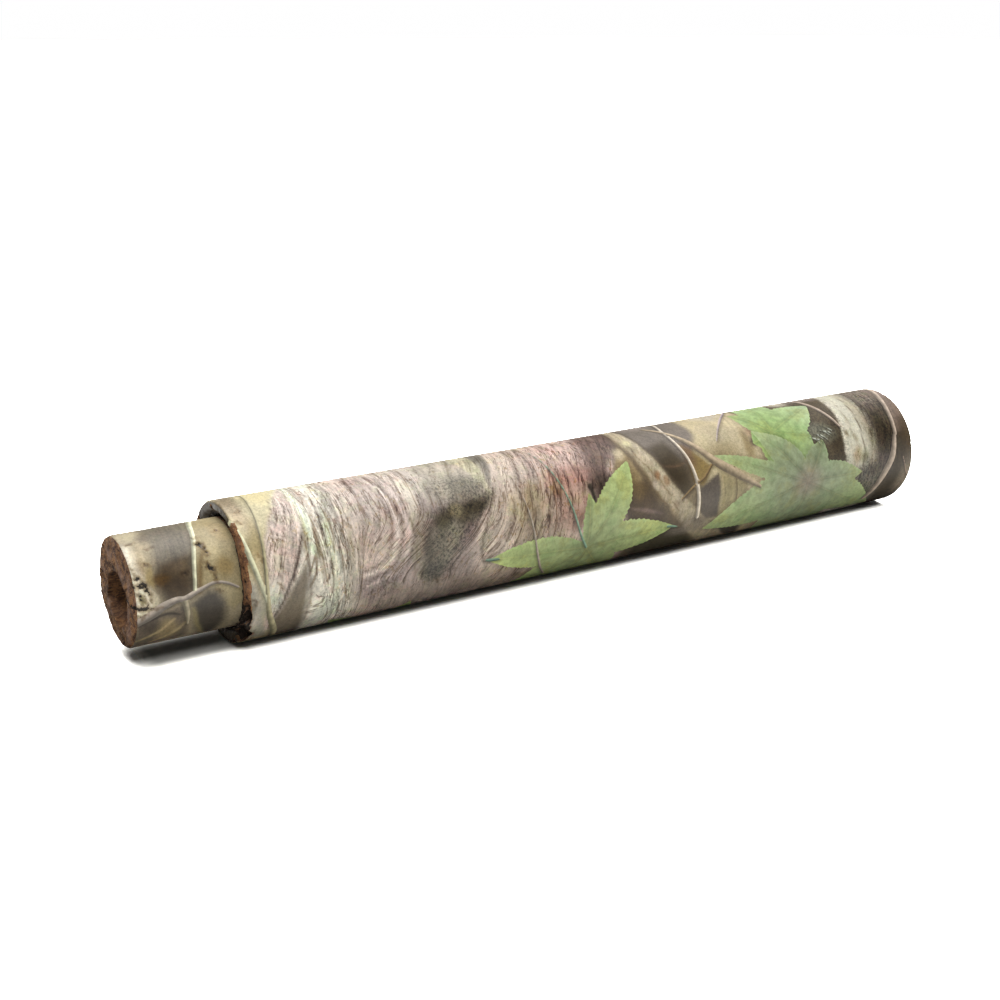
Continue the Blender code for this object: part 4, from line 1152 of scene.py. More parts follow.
def twig_layer(n, under):
    """Lays the twigs over a colour, with a lit side, a dark side and a soft shadow beside it."""
    edge, side, _ = n.split(n.stored("twig")["Vector"])
    knots = n.step(n.noise(n.place, 600.0, 3.0, 0.6), 0.3, 0.7, 0.78, 1.18)
    twig = n.tint(n.stored("twig_colour")["Color"], n.times(n.step(side, -0.7, 0.7, 1.32, 0.42), knots))
    shade = n.times(n.step(edge, 0.06, 0.0, 0.0, 0.6), n.step(side, -0.2, 0.8))
    under = n.dye(shade, under, (0.35, 0.33, 0.3))
    return n.mix(n.step(edge, 0.006, -0.006), under, twig)


def film_material():
    """The printed film, and the wood under it where it has chipped off."""
    n = Nodes("camouflage_film_print")
    colour = leaf_layer(n, leaf_layer(n, bark_layer(n), "low"), "high")
    colour = twig_layer(n, colour)
    wear_and_painted_light = n.stored("wear_and_painted_light")
    bare, dirt_and_shade, rust = n.split(wear_and_painted_light["Vector"])
    ragged = n.times(n.minus(n.noise(n.place, 1500.0, 3.0, 0.6), 0.5), 0.5)
    bare = n.step(n.plus(bare, ragged), 0.46, 0.54)
    halo = n.step(n.plus(wear_and_painted_light["Alpha"], ragged), 0.2, 1.0)
    colour = n.dye(n.times(halo, 0.65), colour, (0.62, 0.5, 0.36))
    wood, wood_height = bare_wood(n)
    # orange wood: the bare wood's own colour, partly painted light on the sleeve's lower bore
    orange = n.mix(n.step(wood_height, 0.55, 0.85), ink(88, 56, 30), ink(146, 102, 62))
    wood = n.mix(n.times(rust, 0.7), wood, orange)
    surface = n.mix(bare, colour, wood)
    # near black where cracks and chips are dirty, and as painted shade in the bores and the broken notch
    crisp = n.step(n.plus(dirt_and_shade, n.times(ragged, 0.8)), 0.5, 0.64)
    dirt_and_shade = n.calc("MAXIMUM", crisp, n.times(dirt_and_shade, 0.85))
    surface = n.mix(n.times(dirt_and_shade, 0.95), surface, ink(22, 16, 11))
    gloss = n.step(n.noise(n.place, 90.0, 3.0), 0.3, 0.7, 0.42, 0.56)
    peel = n.bump(n.noise(n.place, 700.0, 2.0), 0.00006, 0.5)
    deep = n.bump(n.times(wood_height, bare), 0.0007, 0.9, peel)
    rim = n.bump(n.minus(1.0, bare), 0.00012, 0.7, deep)
    return n.finish(surface, n.plus(gloss, n.times(bare, 0.45)), rim, specular=0.4)


def turned_wood_material():
    """Bare reddish wood, turned on a lathe: grain along X, faint tool rings round it."""
    n = Nodes("turned_wood_bare")
    colour, height = bare_wood(n, 0.8)
    colour = n.mix(0.35, colour, ink(150, 96, 66))
    x, _, _ = n.split(n.place)
    rings = n.calc("SINE", n.times(x, 2 * math.pi / (0.45 * MM)))
    normal = n.bump(height, 0.00022, 0.7)
    normal = n.bump(rings, 0.00002, 0.5, normal)
    return n.finish(colour, n.step(height, 0.4, 0.9, 0.62, 0.82), normal, specular=0.3)


def tone_wood_material():
    """Planed cedar: fine straight grain along X, pale chalk dust rubbed into it."""
    n = Nodes("tone_wood_planed")
    grain = n.noise(n.stretch(n.place, (22, 1500, 900)), 1.0, 4.0, 0.6, 0.6)
    bands = n.noise(n.stretch(n.place, (6, 420, 160)), 1.0, 2.0, 0.5, 0.8)
    pores = n.noise(n.stretch(n.place, (500, 6000, 5000)), 1.0, 2.0, 0.6)
    colour = n.mix(n.step(bands, 0.35, 0.65), ink(206, 158, 116), ink(168, 110, 74))
    colour = n.mix(n.step(grain, 0.55, 0.7, 0.0, 0.6), colour, ink(132, 80, 52))
    colour = n.mix(n.step(pores, 0.42, 0.34, 0.0, 0.6), colour, ink(92, 56, 38))
    dust = n.step(n.noise(n.place, 130.0, 5.0, 0.65), 0.52, 0.66, 0.0, 0.35)
    colour = n.mix(dust, colour, ink(226, 218, 206))
    normal = n.bump(n.plus(grain, n.times(pores, 0.4)), 0.0001, 0.8)
    return n.finish(colour, n.step(grain, 0.3, 0.7, 0.55, 0.75), normal, specular=0.3)


def striker_wood_material():
    """Dark dense hardwood, sanded, with chalk on its crown."""
    n = Nodes("striker_wood_chalked")
    low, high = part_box("striker_block")
    grain = n.noise(n.stretch(n.place, (120, 1800, 1400)), 1.0, 4.0, 0.6, 0.4)
    colour = n.mix(n.step(grain, 0.35, 0.65), ink(70, 44, 36), ink(122, 80, 60))
    _, _, z = n.split(n.place)
    crown = n.step(z, low.z + 0.55 * (high.z - low.z), high.z)
    chalk = n.times(crown, n.step(n.noise(n.place, 900.0, 4.0, 0.7), 0.38, 0.6))
    colour = n.mix(chalk, colour, ink(214, 208, 198))
    normal = n.bump(grain, 0.00012, 0.8)
    return n.finish(colour, n.step(grain, 0.3, 0.7, 0.45, 0.65), normal, specular=0.35)


def felt_material():
    """Pressed wool: matted short fibres, lint and a soft sheen."""
    n = Nodes("felt_wool")
    mat = n.noise(n.place, 2200.0, 5.0, 0.75, 1.5)
    lint = n.noise(n.place, 5200.0, 2.0, 0.6, 2.0)
    colour = n.mix(n.step(mat, 0.3, 0.7), ink(52, 62, 46), ink(98, 110, 82))
    colour = n.mix(n.step(lint, 0.62, 0.72, 0.0, 0.6), colour, ink(168, 172, 150))
    n.put(n.shader.inputs["Sheen Weight"], 0.5)
    return n.finish(colour, 0.95, n.bump(mat, 0.0003, 1.0), specular=0.15)


def cork_material():
    """Cork agglomerate: packed granules with dark seams and pits."""
    n = Nodes("cork_agglomerate")
    grains = n.cells(n.place, 1300.0)
    seams = n.cells(n.place, 1300.0, "DISTANCE_TO_EDGE")["Distance"]
    tone = n.noise(grains["Position"], 900.0, 1.0)
    colour = n.mix(n.step(tone, 0.35, 0.65), ink(196, 156, 112), ink(150, 108, 70))
    colour = n.mix(n.step(seams, 0.1, 0.02, 0.0, 0.8), colour, ink(84, 56, 36))
    pits = n.step(n.noise(n.place, 2600.0, 3.0, 0.7), 0.6, 0.7)
    colour = n.mix(pits, colour, ink(70, 46, 30))
    height = n.minus(n.step(seams, 0.0, 0.15), pits)
    return n.finish(colour, 0.85, n.bump(height, 0.00018, 0.9), specular=0.25)


def brass_material():
    """Dull brass with brown tarnish and fine scratches."""
    n = Nodes("brass_tarnished")
    tarnish = n.step(n.noise(n.place, 900.0, 5.0, 0.65), 0.42, 0.66)
    scratches = n.noise(n.stretch(n.place, (900, 9000, 9000)), 1.0, 3.0, 0.6)
    colour = n.mix(tarnish, ink(214, 178, 98), ink(134, 102, 56))
    roughness = n.plus(n.step(scratches, 0.3, 0.7, 0.22, 0.4), n.times(tarnish, 0.22))
    return n.finish(colour, roughness, n.bump(scratches, 0.00002, 0.6), metallic=1.0)


def steel_material():
    """Drawn spring wire: bright steel with draw marks, a blue-brown temper tint and specks of rust."""
    n = Nodes("spring_steel_drawn")
    marks = n.noise(n.stretch(n.place, (3800, 1400, 1400)), 1.0, 4.0, 0.6, 0.3)
    temper = n.step(n.noise(n.place, 120.0, 3.0), 0.42, 0.62)
    rust = n.step(n.noise(n.place, 1400.0, 4.0, 0.7), 0.64, 0.72)
    colour = n.mix(temper, ink(186, 187, 190), ink(142, 136, 132))
    colour = n.mix(rust, colour, ink(112, 66, 40))
    roughness = n.plus(n.step(marks, 0.3, 0.7, 0.2, 0.36), n.times(rust, 0.4))
    metallic = n.minus(1.0, n.times(rust, 0.8))
    return n.finish(colour, roughness, n.bump(marks, 0.00002, 0.7), metallic=metallic)


MATERIALS = {
    "camouflage_film": film_material(),
    "turned_wood": turned_wood_material(),
    "tone_wood": tone_wood_material(),
    "striker_wood": striker_wood_material(),
    "felt": felt_material(),
    "cork": cork_material(),
    "brass": brass_material(),
    "spring_steel": steel_material(),
}


# ---------------------------------------------------------------- the tube

EDGE = 0.8 * MM  # radius of the turned edges of tube and sleeve
TUBE_SIDES = 208
SLEEVE_SIDES = 272


def barrel_outline():
    """Closed outline of the tube: mouth face, outside, far face, bore."""
    gap = 0.2 * MM
    fine = MOUTH_X + 8 * MM
    far = TUBE_END_X
    outline = [(MOUTH_X, r) for r in steps(BORE_R + gap, TUBE_R - EDGE, 12)]
    outline += edge_round(MOUTH_X, TUBE_R, EDGE, 1)
    outline += [(x, TUBE_R) for x in steps(MOUTH_X + EDGE, fine, 20)]
    outline += [(x, TUBE_R) for x in steps(fine, far - EDGE, 372)]
    outline += [(far - EDGE, TUBE_R)] + edge_round(far, TUBE_R, EDGE, -1)[:0:-1]
    outline += [(far, r) for r in steps(TUBE_R - EDGE, BORE_R + gap, 6)]
    outline += [(x, BORE_R) for x in steps(far - gap, MOUTH_X + gap, 26)]
    return outline


def damage_barrel(points):
    """A worn, dirty mouth with two pieces broken out of it, and the least waviness in the film.

    Painted shade darkens its bore and its broken notch.
    """
    hurt = Damage(points)
    depth, angle, radius = unrolled(points)
    face = smooth(0.02, 0.0, depth) * (radius > 0.78)
    hurt.points = roughen(hurt.points, face * smooth(0.99, 0.95, radius), 900, 0.25 * MM, 71, ALONG)
    throat = face * smooth(0.9, 0.79, radius) * (1 + 0.8 * (fractal(points, 500, 75) - 0.5))
    throat_depth = 1.9 * MM
    hurt.points[:, 0] += throat_depth * throat * smooth(60, 10, angle)
    outer = smooth(0.985, 0.995, radius)
    hurt.points = roughen(hurt.points, outer, 160, 0.06 * MM, 72, outwards(points))
    rim = outer * smooth(0.1, 0.02, depth)
    hurt.points = roughen(hurt.points, rim, 420, 0.22 * MM, 73, outwards(points))
    broken_out = (  # angle, share of the tube's radius, size, push, darkness (dirty and painted shade) and stretch
        (110, 0.92, 2.7, (2.6, -0.8), 1.0, (0.55, 1, 1.4)),
        (136, 0.93, 3.3, (3.4, -0.9), 1.0, (0.8, 1, 1.3)),
        (-52, 0.93, 1.3, (0.8, -0.1), 0.9, (1, 1, 1)),
    )
    for i, (where, share, size, push, dirt_and_shade, stretch) in enumerate(broken_out):
        push = (push[0] * MM, push[1] * MM)
        hurt.chip(MOUTH_X, where, share * TUBE_R, size * MM, push, dirt_and_shade=dirt_and_shade, stretch=stretch, seed=1 + i)
    small = (  # angle, share of the tube's radius, size
        (-14, 0.9, 1.0), (40, 0.92, 0.7), (58, 0.9, 0.8), (69, 0.93, 0.7), (80, 0.89, 0.9),
        (94, 0.9, 0.9), (158, 0.99, 1.1), (205, 0.97, 1.3), (250, 0.99, 0.9), (285, 0.95, 0.8),
        (330, 0.98, 0.7),
    )
    for i, (where, share, size) in enumerate(small):
        push = (0.5 * size * MM, -0.15 * MM)
        hurt.chip(MOUTH_X, where, share * TUBE_R, size * MM, push, dirt_and_shade=0.9, seed=4 + i)
    for i, where in enumerate((12, 75, 130, 190, 262, 318)):
        hurt.chip(TUBE_END_X, where, TUBE_R, 0.9 * MM, (-0.3 * MM, -0.25 * MM), dirt_and_shade=0.3, seed=20 + i)
    cracks = (  # places and widths
        (((0.08, 30), (0.12, 33)), (0.008, 0.016)),
        (((0.03, 95), (0.09, 97), (0.11, 100)), (0.02, 0.03, 0.01)),
        (((0.12, 21), (0.19, 19)), (0.01, 0.01)),
        (((0.22, 60), (0.25, 66)), (0.008, 0.012)),
        (((0.44, 86), (0.5, 90)), (0.01, 0.016)),
        (((0.3, 250), (0.36, 262)), (0.02, 0.03)),
    )
    for places, widths in cracks:
        hurt.crack(MOUTH_X, places, widths, 0.15 * MM)
    # the film wraps over the upper part of the mouth's face; the rest of the face, and the bore, are bare
    torn_edge = depth + 0.07 * (fractal(points, 520, 77) - 0.5)
    open_face = smooth(20, 40, angle) * smooth(122, 106, angle) * smooth(0.058, 0.038, torn_edge)
    inside = smooth(0.83, 0.8, radius)
    far_face = smooth(-0.6 * MM, -0.2 * MM, hurt.points[:, 0] - TUBE_END_X) * smooth(0.985, 0.96, radius)
    hurt.bare = np.maximum.reduce([hurt.bare, inside, far_face, open_face])
    hurt.rust = np.maximum(open_face, face * smooth(0.93, 0.85, radius) * smooth(60, -20, angle) * 0.5)
    # painted shade: the bore and the inner face are darkened near the mouth, unevenly
    bore_shade = smooth(0.87, 0.8, radius) * smooth(0.12, 0.0, depth)
    bore_shade *= 0.75 + 0.5 * (fractal(points, 420, 76) - 0.5)
    # painted shade: near black in patches in the broken-out notch at the mouth's lower front
    hollow = smooth(0.06, 0.02, depth) * smooth(102, 110, angle) * smooth(152, 144, angle)
    hollow *= smooth(0.36, 0.5, fractal(points, 700, 78))
    hurt.dirt_and_shade = np.maximum.reduce([hurt.dirt_and_shade, bore_shade, hollow])
    return hurt


def build_barrel():
    """The tube as one fine turned mesh."""
    points, index = spun(barrel_outline(), TUBE_SIDES)
    hurt = damage_barrel(points)
    faces = quads_between(index, True)
    piece = new_piece("tube", hurt.points, faces, "casing", "barrel", "camouflage_film")
    paint_barrel(points).store(piece.data)
    hurt.store(piece.data)


# ---------------------------------------------------------------- the sleeve


SLEEVE_JOIN_X = MOUTH_X + 0.6 * MM  # the fine mesh of the sleeve's outer end stops here
SLEEVE_CUT_X = SLEEVE_JOIN_X + 0.3 * MM  # and its CAD shape goes on from here


def sleeve_outline():
    """Open outline of the sleeve's outer end: bore, end face, outside."""
    tip = SLEEVE_TIP_X
    fine = tip + 9 * MM
    outline = [(x, SLEEVE_BORE_R) for x in steps(SLEEVE_JOIN_X, fine, 16)]
    outline += [(x, SLEEVE_BORE_R) for x in steps(fine, tip, 24)]
    outline += [(tip, r) for r in steps(SLEEVE_BORE_R, SLEEVE_R - EDGE, 30)]
    outline += edge_round(tip, SLEEVE_R, EDGE, 1)
    outline += [(x, SLEEVE_R) for x in steps(tip + EDGE, SLEEVE_JOIN_X, 100)]
    outline.append((SLEEVE_JOIN_X, SLEEVE_R))
    return outline


def damage_sleeve(points):
    """A rough end face, a bore worn wide and low at its mouth, and cracks and chips in the film."""
    hurt = Damage(points)
    _, angle, radius = unrolled(points)
    from_tip = (points[:, 0] - SLEEVE_TIP_X) / MM
    share = radius * TUBE_R / SLEEVE_R
    bore_share = SLEEVE_BORE_R / SLEEVE_R
    out = outwards(points)
    # the worn opening: a ragged round hole, larger than the bore and lower than it
    opening = 0.5 - 0.13 * np.cos(np.radians(angle)) + 0.1 * (fractal(out * 0.01, 300, 87) - 0.5)
    solid_share = 0.945  # outside this share of the sleeve's radius its end keeps its shape
    on_face = np.clip((solid_share - share) / (solid_share - bore_share), 0, 1)
    on_face *= smooth(1.0, 0.2, from_tip)
    in_bore = smooth(9.0, 0.0, from_tip) ** 1.5 * smooth(bore_share + 0.02, bore_share, share)
    spread = np.maximum(on_face, in_bore) * (opening - bore_share) * SLEEVE_R
    hurt.points += spread[:, None] * out
    face = smooth(1.0, 0.2, from_tip) * smooth(0.985, 0.93, share)
    hurt.points = roughen(hurt.points, face, 620, 0.6 * MM, 81, ALONG)
    hurt.points = roughen(hurt.points, face, 190, 0.75 * MM, 82, ALONG)
    bore = smooth(bore_share + 0.04, bore_share, share) * smooth(0.0, 1.0, from_tip)
    hurt.points = roughen(hurt.points, bore, 420, 0.45 * MM, 84, out)
    rim = smooth(1.6, 0.0, from_tip) * smooth(0.94, 1.0, share)
    hurt.points = roughen(hurt.points, rim, 420, 0.4 * MM, 85, out)
    outside = smooth(0.985, 0.995, share) * smooth(0.8, 1.6, from_tip)
    hurt.points = roughen(hurt.points, outside, 260, 0.06 * MM, 86, out)
    cracks = (  # places and widths
        (((0.0, 45), (0.05, 52), (0.09, 60)), (0.03, 0.02, 0.05)),
        (((0.06, 66), (0.13, 66), (0.17, 70)), (0.06, 0.12, 0.05)),
        (((0.02, 66), (0.05, 68)), (0.05, 0.04)),
        (((0.16, 70), (0.2, 76), (0.22, 84)), (0.06, 0.04, 0.02)),
        (((0.0, 88), (0.08, 90), (0.15, 90), (0.2, 91)), (0.08, 0.09, 0.09, 0.03)),
        (((0.18, 91), (0.28, 92), (0.36, 91)), (0.025, 0.025, 0.012)),
        (((0.1, 97), (0.15, 96)), (0.03, 0.02)),
        (((0.98, 34), (1.03, 37), (1.06, 44), (1.08, 48)), (0.07, 0.06, 0.035, 0.018)),
        (((1.04, 61), (1.08, 63), (1.1, 70), (1.13, 78)), (0.07, 0.06, 0.028, 0.02)),
        (((0.68, 62), (0.74, 62)), (0.045, 0.04)), (((1.24, 23), (1.32, 21)), (0.02, 0.03)),
        (((0.1, 19), (0.2, 17)), (0.016, 0.016)), (((0.02, 97), (0.07, 99)), (0.05, 0.03)),
        (((0.04, 58), (0.1, 61)), (0.016, 0.016)), (((0.1, 76), (0.13, 80)), (0.03, 0.02)),
        (((0.05, 74), (0.09, 80), (0.1, 86)), (0.03, 0.05, 0.02)),
        (((0.13, 82), (0.17, 87)), (0.02, 0.03)), (((0.22, 46), (0.27, 47)), (0.014, 0.014)),
        (((0.3, 30), (0.4, 28)), (0.01, 0.01)), (((0.96, 26), (1.02, 27)), (0.014, 0.014)),
        (((1.02, 56), (1.05, 60)), (0.03, 0.03)), (((1.1, 84), (1.18, 88)), (0.012, 0.018)),
        (((0.5, 228), (0.6, 236)), (0.04, 0.03)), (((0.05, 292), (0.14, 304)), (0.05, 0.04)),
        (((0.04, 198), (0.12, 204)), (0.05, 0.03)), (((1.0, 300), (1.2, 296)), (0.02, 0.03)),
    )
    for places, widths in cracks:
        hurt.crack(SLEEVE_TIP_X, places, widths, 0.35 * MM)
    end_bare = smooth(0.7, 0.25, from_tip) * smooth(1.005, 0.965, share)
    inside = smooth(bore_share + 0.04, bore_share, share)
    hurt.bare = np.maximum.reduce([hurt.bare, end_bare, inside])
    # orange wood on the bore's lower side: the wood's own colour, and partly painted light where light
    # falls
    hurt.rust = inside * smooth(40, 110, np.abs(angle)) * 0.9
    torn = end_bare * smooth(0.93, 0.98, share) * smooth(0.42, 0.6, fractal(points, 620, 88))
    # painted shade: the bore is darkened all round, more at its top and deeper in
    shaded = inside * (0.3 + 0.3 * smooth(0.3, 4.0, from_tip) * smooth(100, 40, np.abs(angle)))
    hurt.dirt_and_shade = np.maximum.reduce([hurt.dirt_and_shade, 0.75 * torn, shaded])
    return hurt


def ring_by_angle(edges):
    """The points of open edges as closed rings, each sorted by angle round the axis, keyed by radius."""
    rings = {}
    for vert in {v for e in edges for v in e.verts}:
        radius = math.hypot(vert.co.y, vert.co.z - AXIS_Z)
        key = "outer" if radius > (SLEEVE_R + SLEEVE_BORE_R) / 2 else "bore"
        rings.setdefault(key, []).append((math.atan2(-vert.co.y, vert.co.z - AXIS_Z), vert))
    return {key: sorted(ring, key=lambda item: item[0]) for key, ring in rings.items()}


def stitch(bm, first, second):
    """Triangles between two rings sorted by angle."""
    i = j = 0
    while i < len(first) or j < len(second):
        a, b = first[i % len(first)][1], second[j % len(second)][1]
        next_a = first[(i + 1) % len(first)][0] + (2 * math.pi if i + 1 >= len(first) else 0)
        next_b = second[(j + 1) % len(second)][0] + (2 * math.pi if j + 1 >= len(second) else 0)
        if j >= len(second) or (i < len(first) and next_a <= next_b):
            bm.faces.new((a, first[(i + 1) % len(first)][1], b))
            i += 1
        else:
            bm.faces.new((a, second[(j + 1) % len(second)][1], b))
            j += 1


def build_sleeve():
    """Fine outer end, stitched to the slotted inner end of the CAD sleeve."""
    points, index = spun(sleeve_outline(), SLEEVE_SIDES)
    hurt = damage_sleeve(points)
    bm = bmesh.new()
    verts = [bm.verts.new(p) for p in hurt.points]
    for quad in quads_between(index, False):
        bm.faces.new([verts[i] for i in quad])
    fine_rings = ring_by_angle([e for e in bm.edges if e.is_boundary])

    tail = NODES["plunger_sleeve"].data.copy()
    tail_bm = bmesh.new()
    tail_bm.from_mesh(tail)
    bmesh.ops.remove_doubles(tail_bm, verts=tail_bm.verts, dist=1e-6)
    geometry = tail_bm.verts[:] + tail_bm.edges[:] + tail_bm.faces[:]
    plane = {"plane_co": (SLEEVE_CUT_X, 0, 0), "plane_no": (1, 0, 0)}
    bmesh.ops.bisect_plane(tail_bm, geom=geometry, clear_inner=True, **plane)
    tail_bm.to_mesh(tail)
    tail_bm.free()
    bm.from_mesh(tail)
    bpy.data.meshes.remove(tail)
    between_x = (SLEEVE_JOIN_X + SLEEVE_CUT_X) / 2
    coarse_rings = ring_by_angle(
        [e for e in bm.edges if e.is_boundary and min(v.co.x for v in e.verts) > between_x]
    )
    for key in ("outer", "bore"):
        stitch(bm, fine_rings[key], coarse_rings[key])
    bmesh.ops.recalc_face_normals(bm, faces=bm.faces)
    mesh = bpy.data.meshes.new("sleeve")
    bm.to_mesh(mesh)
    bm.free()

    adopt("sleeve", mesh, "plunger", "plunger_sleeve", "camouflage_film")
    whole = mesh_points(mesh)
    whole[: len(points)] = points
    paint_sleeve(whole).store(mesh)
    hurt.store(mesh)


# ---------------------------------------------------------------- springs


def swept(path, radius, sides=12):
    """Points and faces of a round wire along a path, with closed ends."""
    path = np.array(path)
    tangent = np.gradient(path, axis=0)
    tangent /= np.linalg.norm(tangent, axis=1)[:, None]
    outward = outwards(path)
    outward -= np.sum(outward * tangent, axis=1)[:, None] * tangent
    outward /= np.linalg.norm(outward, axis=1)[:, None]
    third = np.cross(tangent, outward)
    points = []
    for i, centre in enumerate(path):
        for k in range(sides):
            turn = 2 * math.pi * k / sides
            points.append(centre + radius * (math.cos(turn) * outward[i] + math.sin(turn) * third[i]))
    index = np.arange(len(points)).reshape(len(path), sides)
    faces = [tuple(quad) for quad in quads_between(index, False)]
    faces += [tuple(index[0][::-1]), tuple(index[-1])]
    return points, faces


def build_return_spring():
    """Seven turns of round wire with closed end turns."""
    low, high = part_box("return_spring")
    inner, outer = radii("return_spring")
    wire = (outer - inner) / 2
    middle = (outer + inner) / 2
    turns, per_turn = 7, 64
    start, end = low.x + wire, high.x - wire
    closed = 1 / turns
    rise = 2.2 * wire
    path = []
    for i in range(turns * per_turn + 1):
        share = i / (turns * per_turn)
        x = np.interp(share, (0, closed, 1 - closed, 1), (start, start + rise, end - rise, end))
        turn = 2 * math.pi * i / per_turn
        path.append((x, middle * math.sin(turn), AXIS_Z + middle * math.cos(turn)))
    points, faces = swept(path, wire)
    spring = new_piece("coil_spring", points, faces, "casing", "return_spring", "spring_steel")
    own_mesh(spring)


def build_tension_spring():
    """A leaf of spring steel, bent up beyond its screw."""
    low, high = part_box("tension_spring")
    screw_low, screw_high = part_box("tension_spring_screw")
    half = (high.y - low.y) / 2
    thick = 0.4 * MM
    bend = (screw_low.x + screw_high.x) / 2 + 4 * MM
    tip_length = 3 * MM
    count = 40
    mesh = bpy.data.meshes.new("leaf_spring")
    bm = bmesh.new()
    rows = []
    for i in range(count + 1):
        x = low.x + (high.x - low.x) * i / count
        rise = (high.z - thick - low.z) * max(0.0, (x - bend) / (high.x - bend)) ** 1.25
        tip = 1.0 - 0.35 * max(0.0, (x - high.x + tip_length) / tip_length) ** 2
        rows.append([bm.verts.new((x, side * half * tip, low.z + rise + up * thick))
                     for side, up in ((-1, 0), (1, 0), (1, 1), (-1, 1))])
    for near, far in zip(rows, rows[1:], strict=False):
        for k in range(4):
            bm.faces.new((near[k], near[(k + 1) % 4], far[(k + 1) % 4], far[k]))
    bm.faces.new(rows[0])
    bm.faces.new(rows[-1][::-1])
    bmesh.ops.recalc_face_normals(bm, faces=bm.faces)
    bm.to_mesh(mesh)
    bm.free()
    leaf = adopt("leaf_spring", mesh, "plunger", "tension_spring", "spring_steel")
    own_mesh(leaf)


# ---------------------------------------------------------------- CAD nodes that stay


def dress_cad_nodes():
    """Gives each remaining CAD node its slot's material."""
    slots = {row["node"]: row["material_slot"] for row in frame["record"]["subparts"]}
    for name, node in NODES.items():
        if node.hide_render:
            continue
        node.data.materials.clear()
        node.data.materials.append(MATERIALS[slots[name]])


# ---------------------------------------------------------------- stage


FLOOR_SEEN = 2.3  # exposed to pure white, but for the shadow close under the call, rendered and also painted
FLOOR_PAINTED_SHADOW = 0.4  # painted shadow: the camera's view of it where the call rests on it
FLOOR_BOUNCE = 0.72  # the light it throws back on the call
FLOOR_UNDER = 0.05  # painted shade: little light thrown back close under the call, to darken its underside
FLOOR_WARMTH = (1.0, 0.99, 0.94)
SURROUND_SEEN = 1.0
SURROUND_LIGHT = 0.06
LENS = 53.22  # mm, with a sensor 36 mm wide
LENS_SHIFT = -0.0006  # in sensor widths
CAMERA_PLACE = (-12.252, -18.139, 8.346)  # in tube radii
CAMERA_YAW, CAMERA_PITCH, CAMERA_ROLL = 31.964, 18.281, 0.33  # degrees: from +Y towards +X, down, and tilt


def build_floor():
    """A pale floor, seen brighter than the light it throws back, with a painted shadow under the call."""
    mesh = bpy.data.meshes.new("floor")
    half = 400 * TUBE_R
    corners = [(-half, -half, 0), (half, -half, 0), (half, half, 0), (-half, half, 0)]
    mesh.from_pydata(corners, [], [(0, 1, 2, 3)])
    n = Nodes("studio_floor")
    x, y, _ = n.split(n.place)
    grit = n.step(n.noise(n.place, 60.0, 3.0), 0.3, 0.7, 0.97, 1.03)
    aside = n.calc("ABSOLUTE", y)
    # painted shade: close under the call the floor throws back little light, darkening the call's underside
    bounce = n.step(aside, 0.95 * TUBE_R, 2.4 * TUBE_R, FLOOR_UNDER, FLOOR_BOUNCE)
    # painted shadow: the camera sees the floor darker along the call, from the sleeve's tip to the tube's
    # end
    past_tip = n.step(x, SLEEVE_TIP_X - 2 * MM, SLEEVE_TIP_X + 8 * MM)
    before_end = n.step(x, TUBE_END_X + 2 * MM, TUBE_END_X - 6 * MM)
    under = n.times(n.times(past_tip, before_end), n.step(aside, 0.65 * TUBE_R, 0.25 * TUBE_R))
    shown = n.calc("MULTIPLY_ADD", under, FLOOR_PAINTED_SHADOW - FLOOR_SEEN, FLOOR_SEEN)
    seen = n.add("ShaderNodeLightPath").outputs["Is Camera Ray"]
    level = n.plus(bounce, n.times(seen, n.minus(shown, bounce)))
    diffuse = n.add("ShaderNodeBsdfDiffuse")
    n.put(diffuse.inputs["Color"], n.tint(FLOOR_WARMTH, n.times(level, grit)))
    output = n.tree.nodes["Material Output"]
    n.tree.links.new(diffuse.outputs["BSDF"], output.inputs["Surface"])
    n.tree.nodes.remove(n.shader)
    mesh.materials.append(n.material)
    floor = bpy.data.objects.new("floor", mesh)
    bpy.context.scene.collection.objects.link(floor)
    return floor


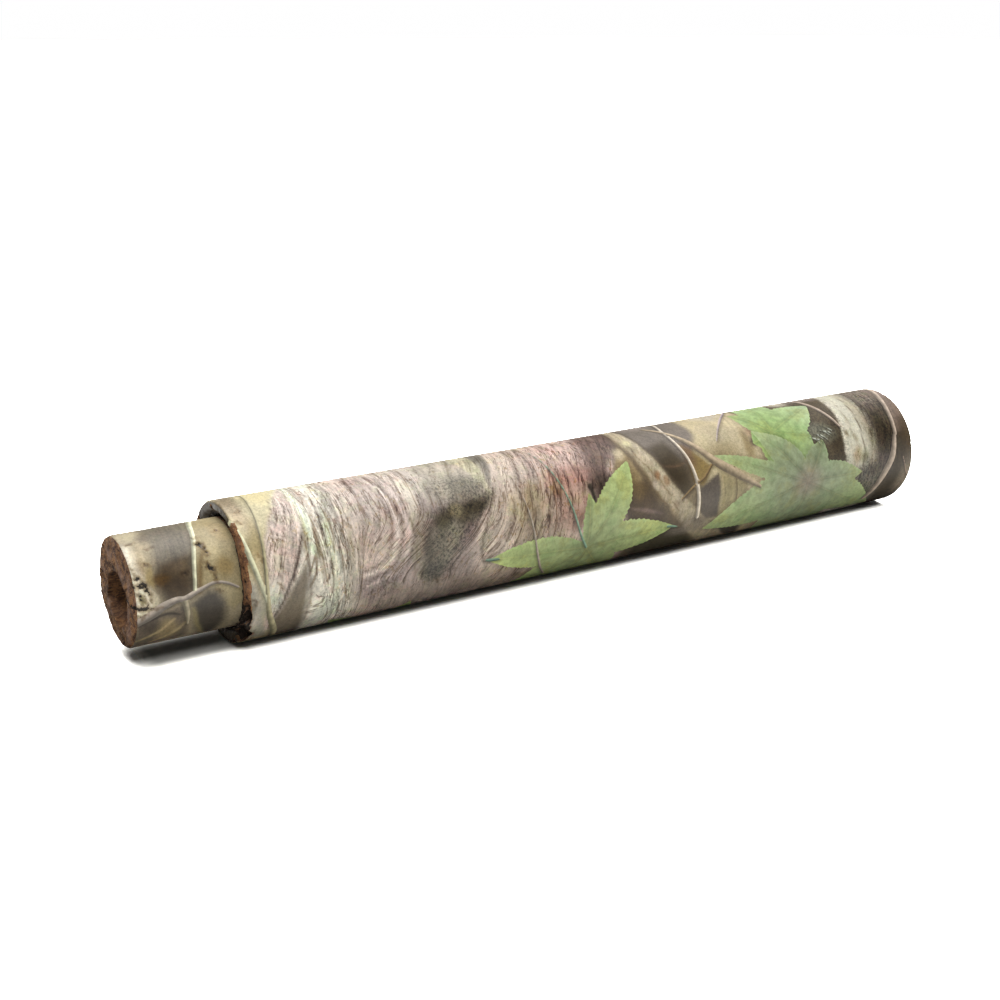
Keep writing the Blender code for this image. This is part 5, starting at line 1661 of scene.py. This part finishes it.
def add_light(name, place, softness, strength):
    """A wide, far soft light aimed at the call. place only gives its direction; softness is in degrees."""
    light = bpy.data.lights.new(name, "SUN")
    light.angle = math.radians(softness)
    light.energy = strength
    lamp = bpy.data.objects.new(name, light)
    lamp.location = place
    lamp.rotation_mode = "QUATERNION"
    lamp.rotation_quaternion = (-Vector(place)).to_track_quat("-Z", "Y")
    bpy.context.scene.collection.objects.link(lamp)
    return lamp


def build_lights(floor):
    """A broad soft light above, a breath of light from the front, and a white surround."""
    add_light("overhead", (0.0, 0.15, 0.8), 58, 5.0)
    add_light("front", (-0.2, -0.8, 0.25), 40, 0.12)
    only_floor = bpy.data.collections.new("only_floor")
    only_floor.objects.link(floor)
    add_light("floor_wash", (0.0, -0.54, 0.84), 34, 4.0).light_linking.receiver_collection = only_floor
    world = bpy.data.worlds.new("surround")
    bpy.context.scene.world = world
    world.use_nodes = True
    tree = world.node_tree
    back = tree.nodes["Background"]
    back.inputs["Color"].default_value = (1, 1, 1, 1)
    seen = tree.nodes.new("ShaderNodeLightPath").outputs["Is Camera Ray"]
    level = tree.nodes.new("ShaderNodeMapRange")
    level.inputs["To Min"].default_value = SURROUND_LIGHT
    level.inputs["To Max"].default_value = SURROUND_SEEN
    tree.links.new(seen, level.inputs["Value"])
    tree.links.new(level.outputs["Result"], back.inputs["Strength"])
    view = bpy.context.scene.view_settings
    view.view_transform = "Standard"
    view.look = "None"


def build_camera():
    """The camera stands at the call's near left, a little above it."""
    data = bpy.data.cameras.new("camera")
    data.sensor_width = 36.0
    data.lens = LENS
    data.shift_y = LENS_SHIFT
    data.clip_start = 0.01
    camera = bpy.data.objects.new("camera", data)
    camera.location = Vector(CAMERA_PLACE) * TUBE_R
    yaw = Matrix.Rotation(-math.radians(CAMERA_YAW), 4, "Z")
    pitch = Matrix.Rotation(math.radians(90 - CAMERA_PITCH), 4, "X")
    roll = Matrix.Rotation(math.radians(CAMERA_ROLL), 4, "Z")
    camera.rotation_mode = "QUATERNION"
    camera.rotation_quaternion = (yaw @ pitch @ roll).to_quaternion()
    bpy.context.scene.collection.objects.link(camera)
    bpy.context.scene.camera = camera


build_barrel()
build_sleeve()
build_return_spring()
build_tension_spring()
dress_cad_nodes()
build_lights(build_floor())
build_camera()
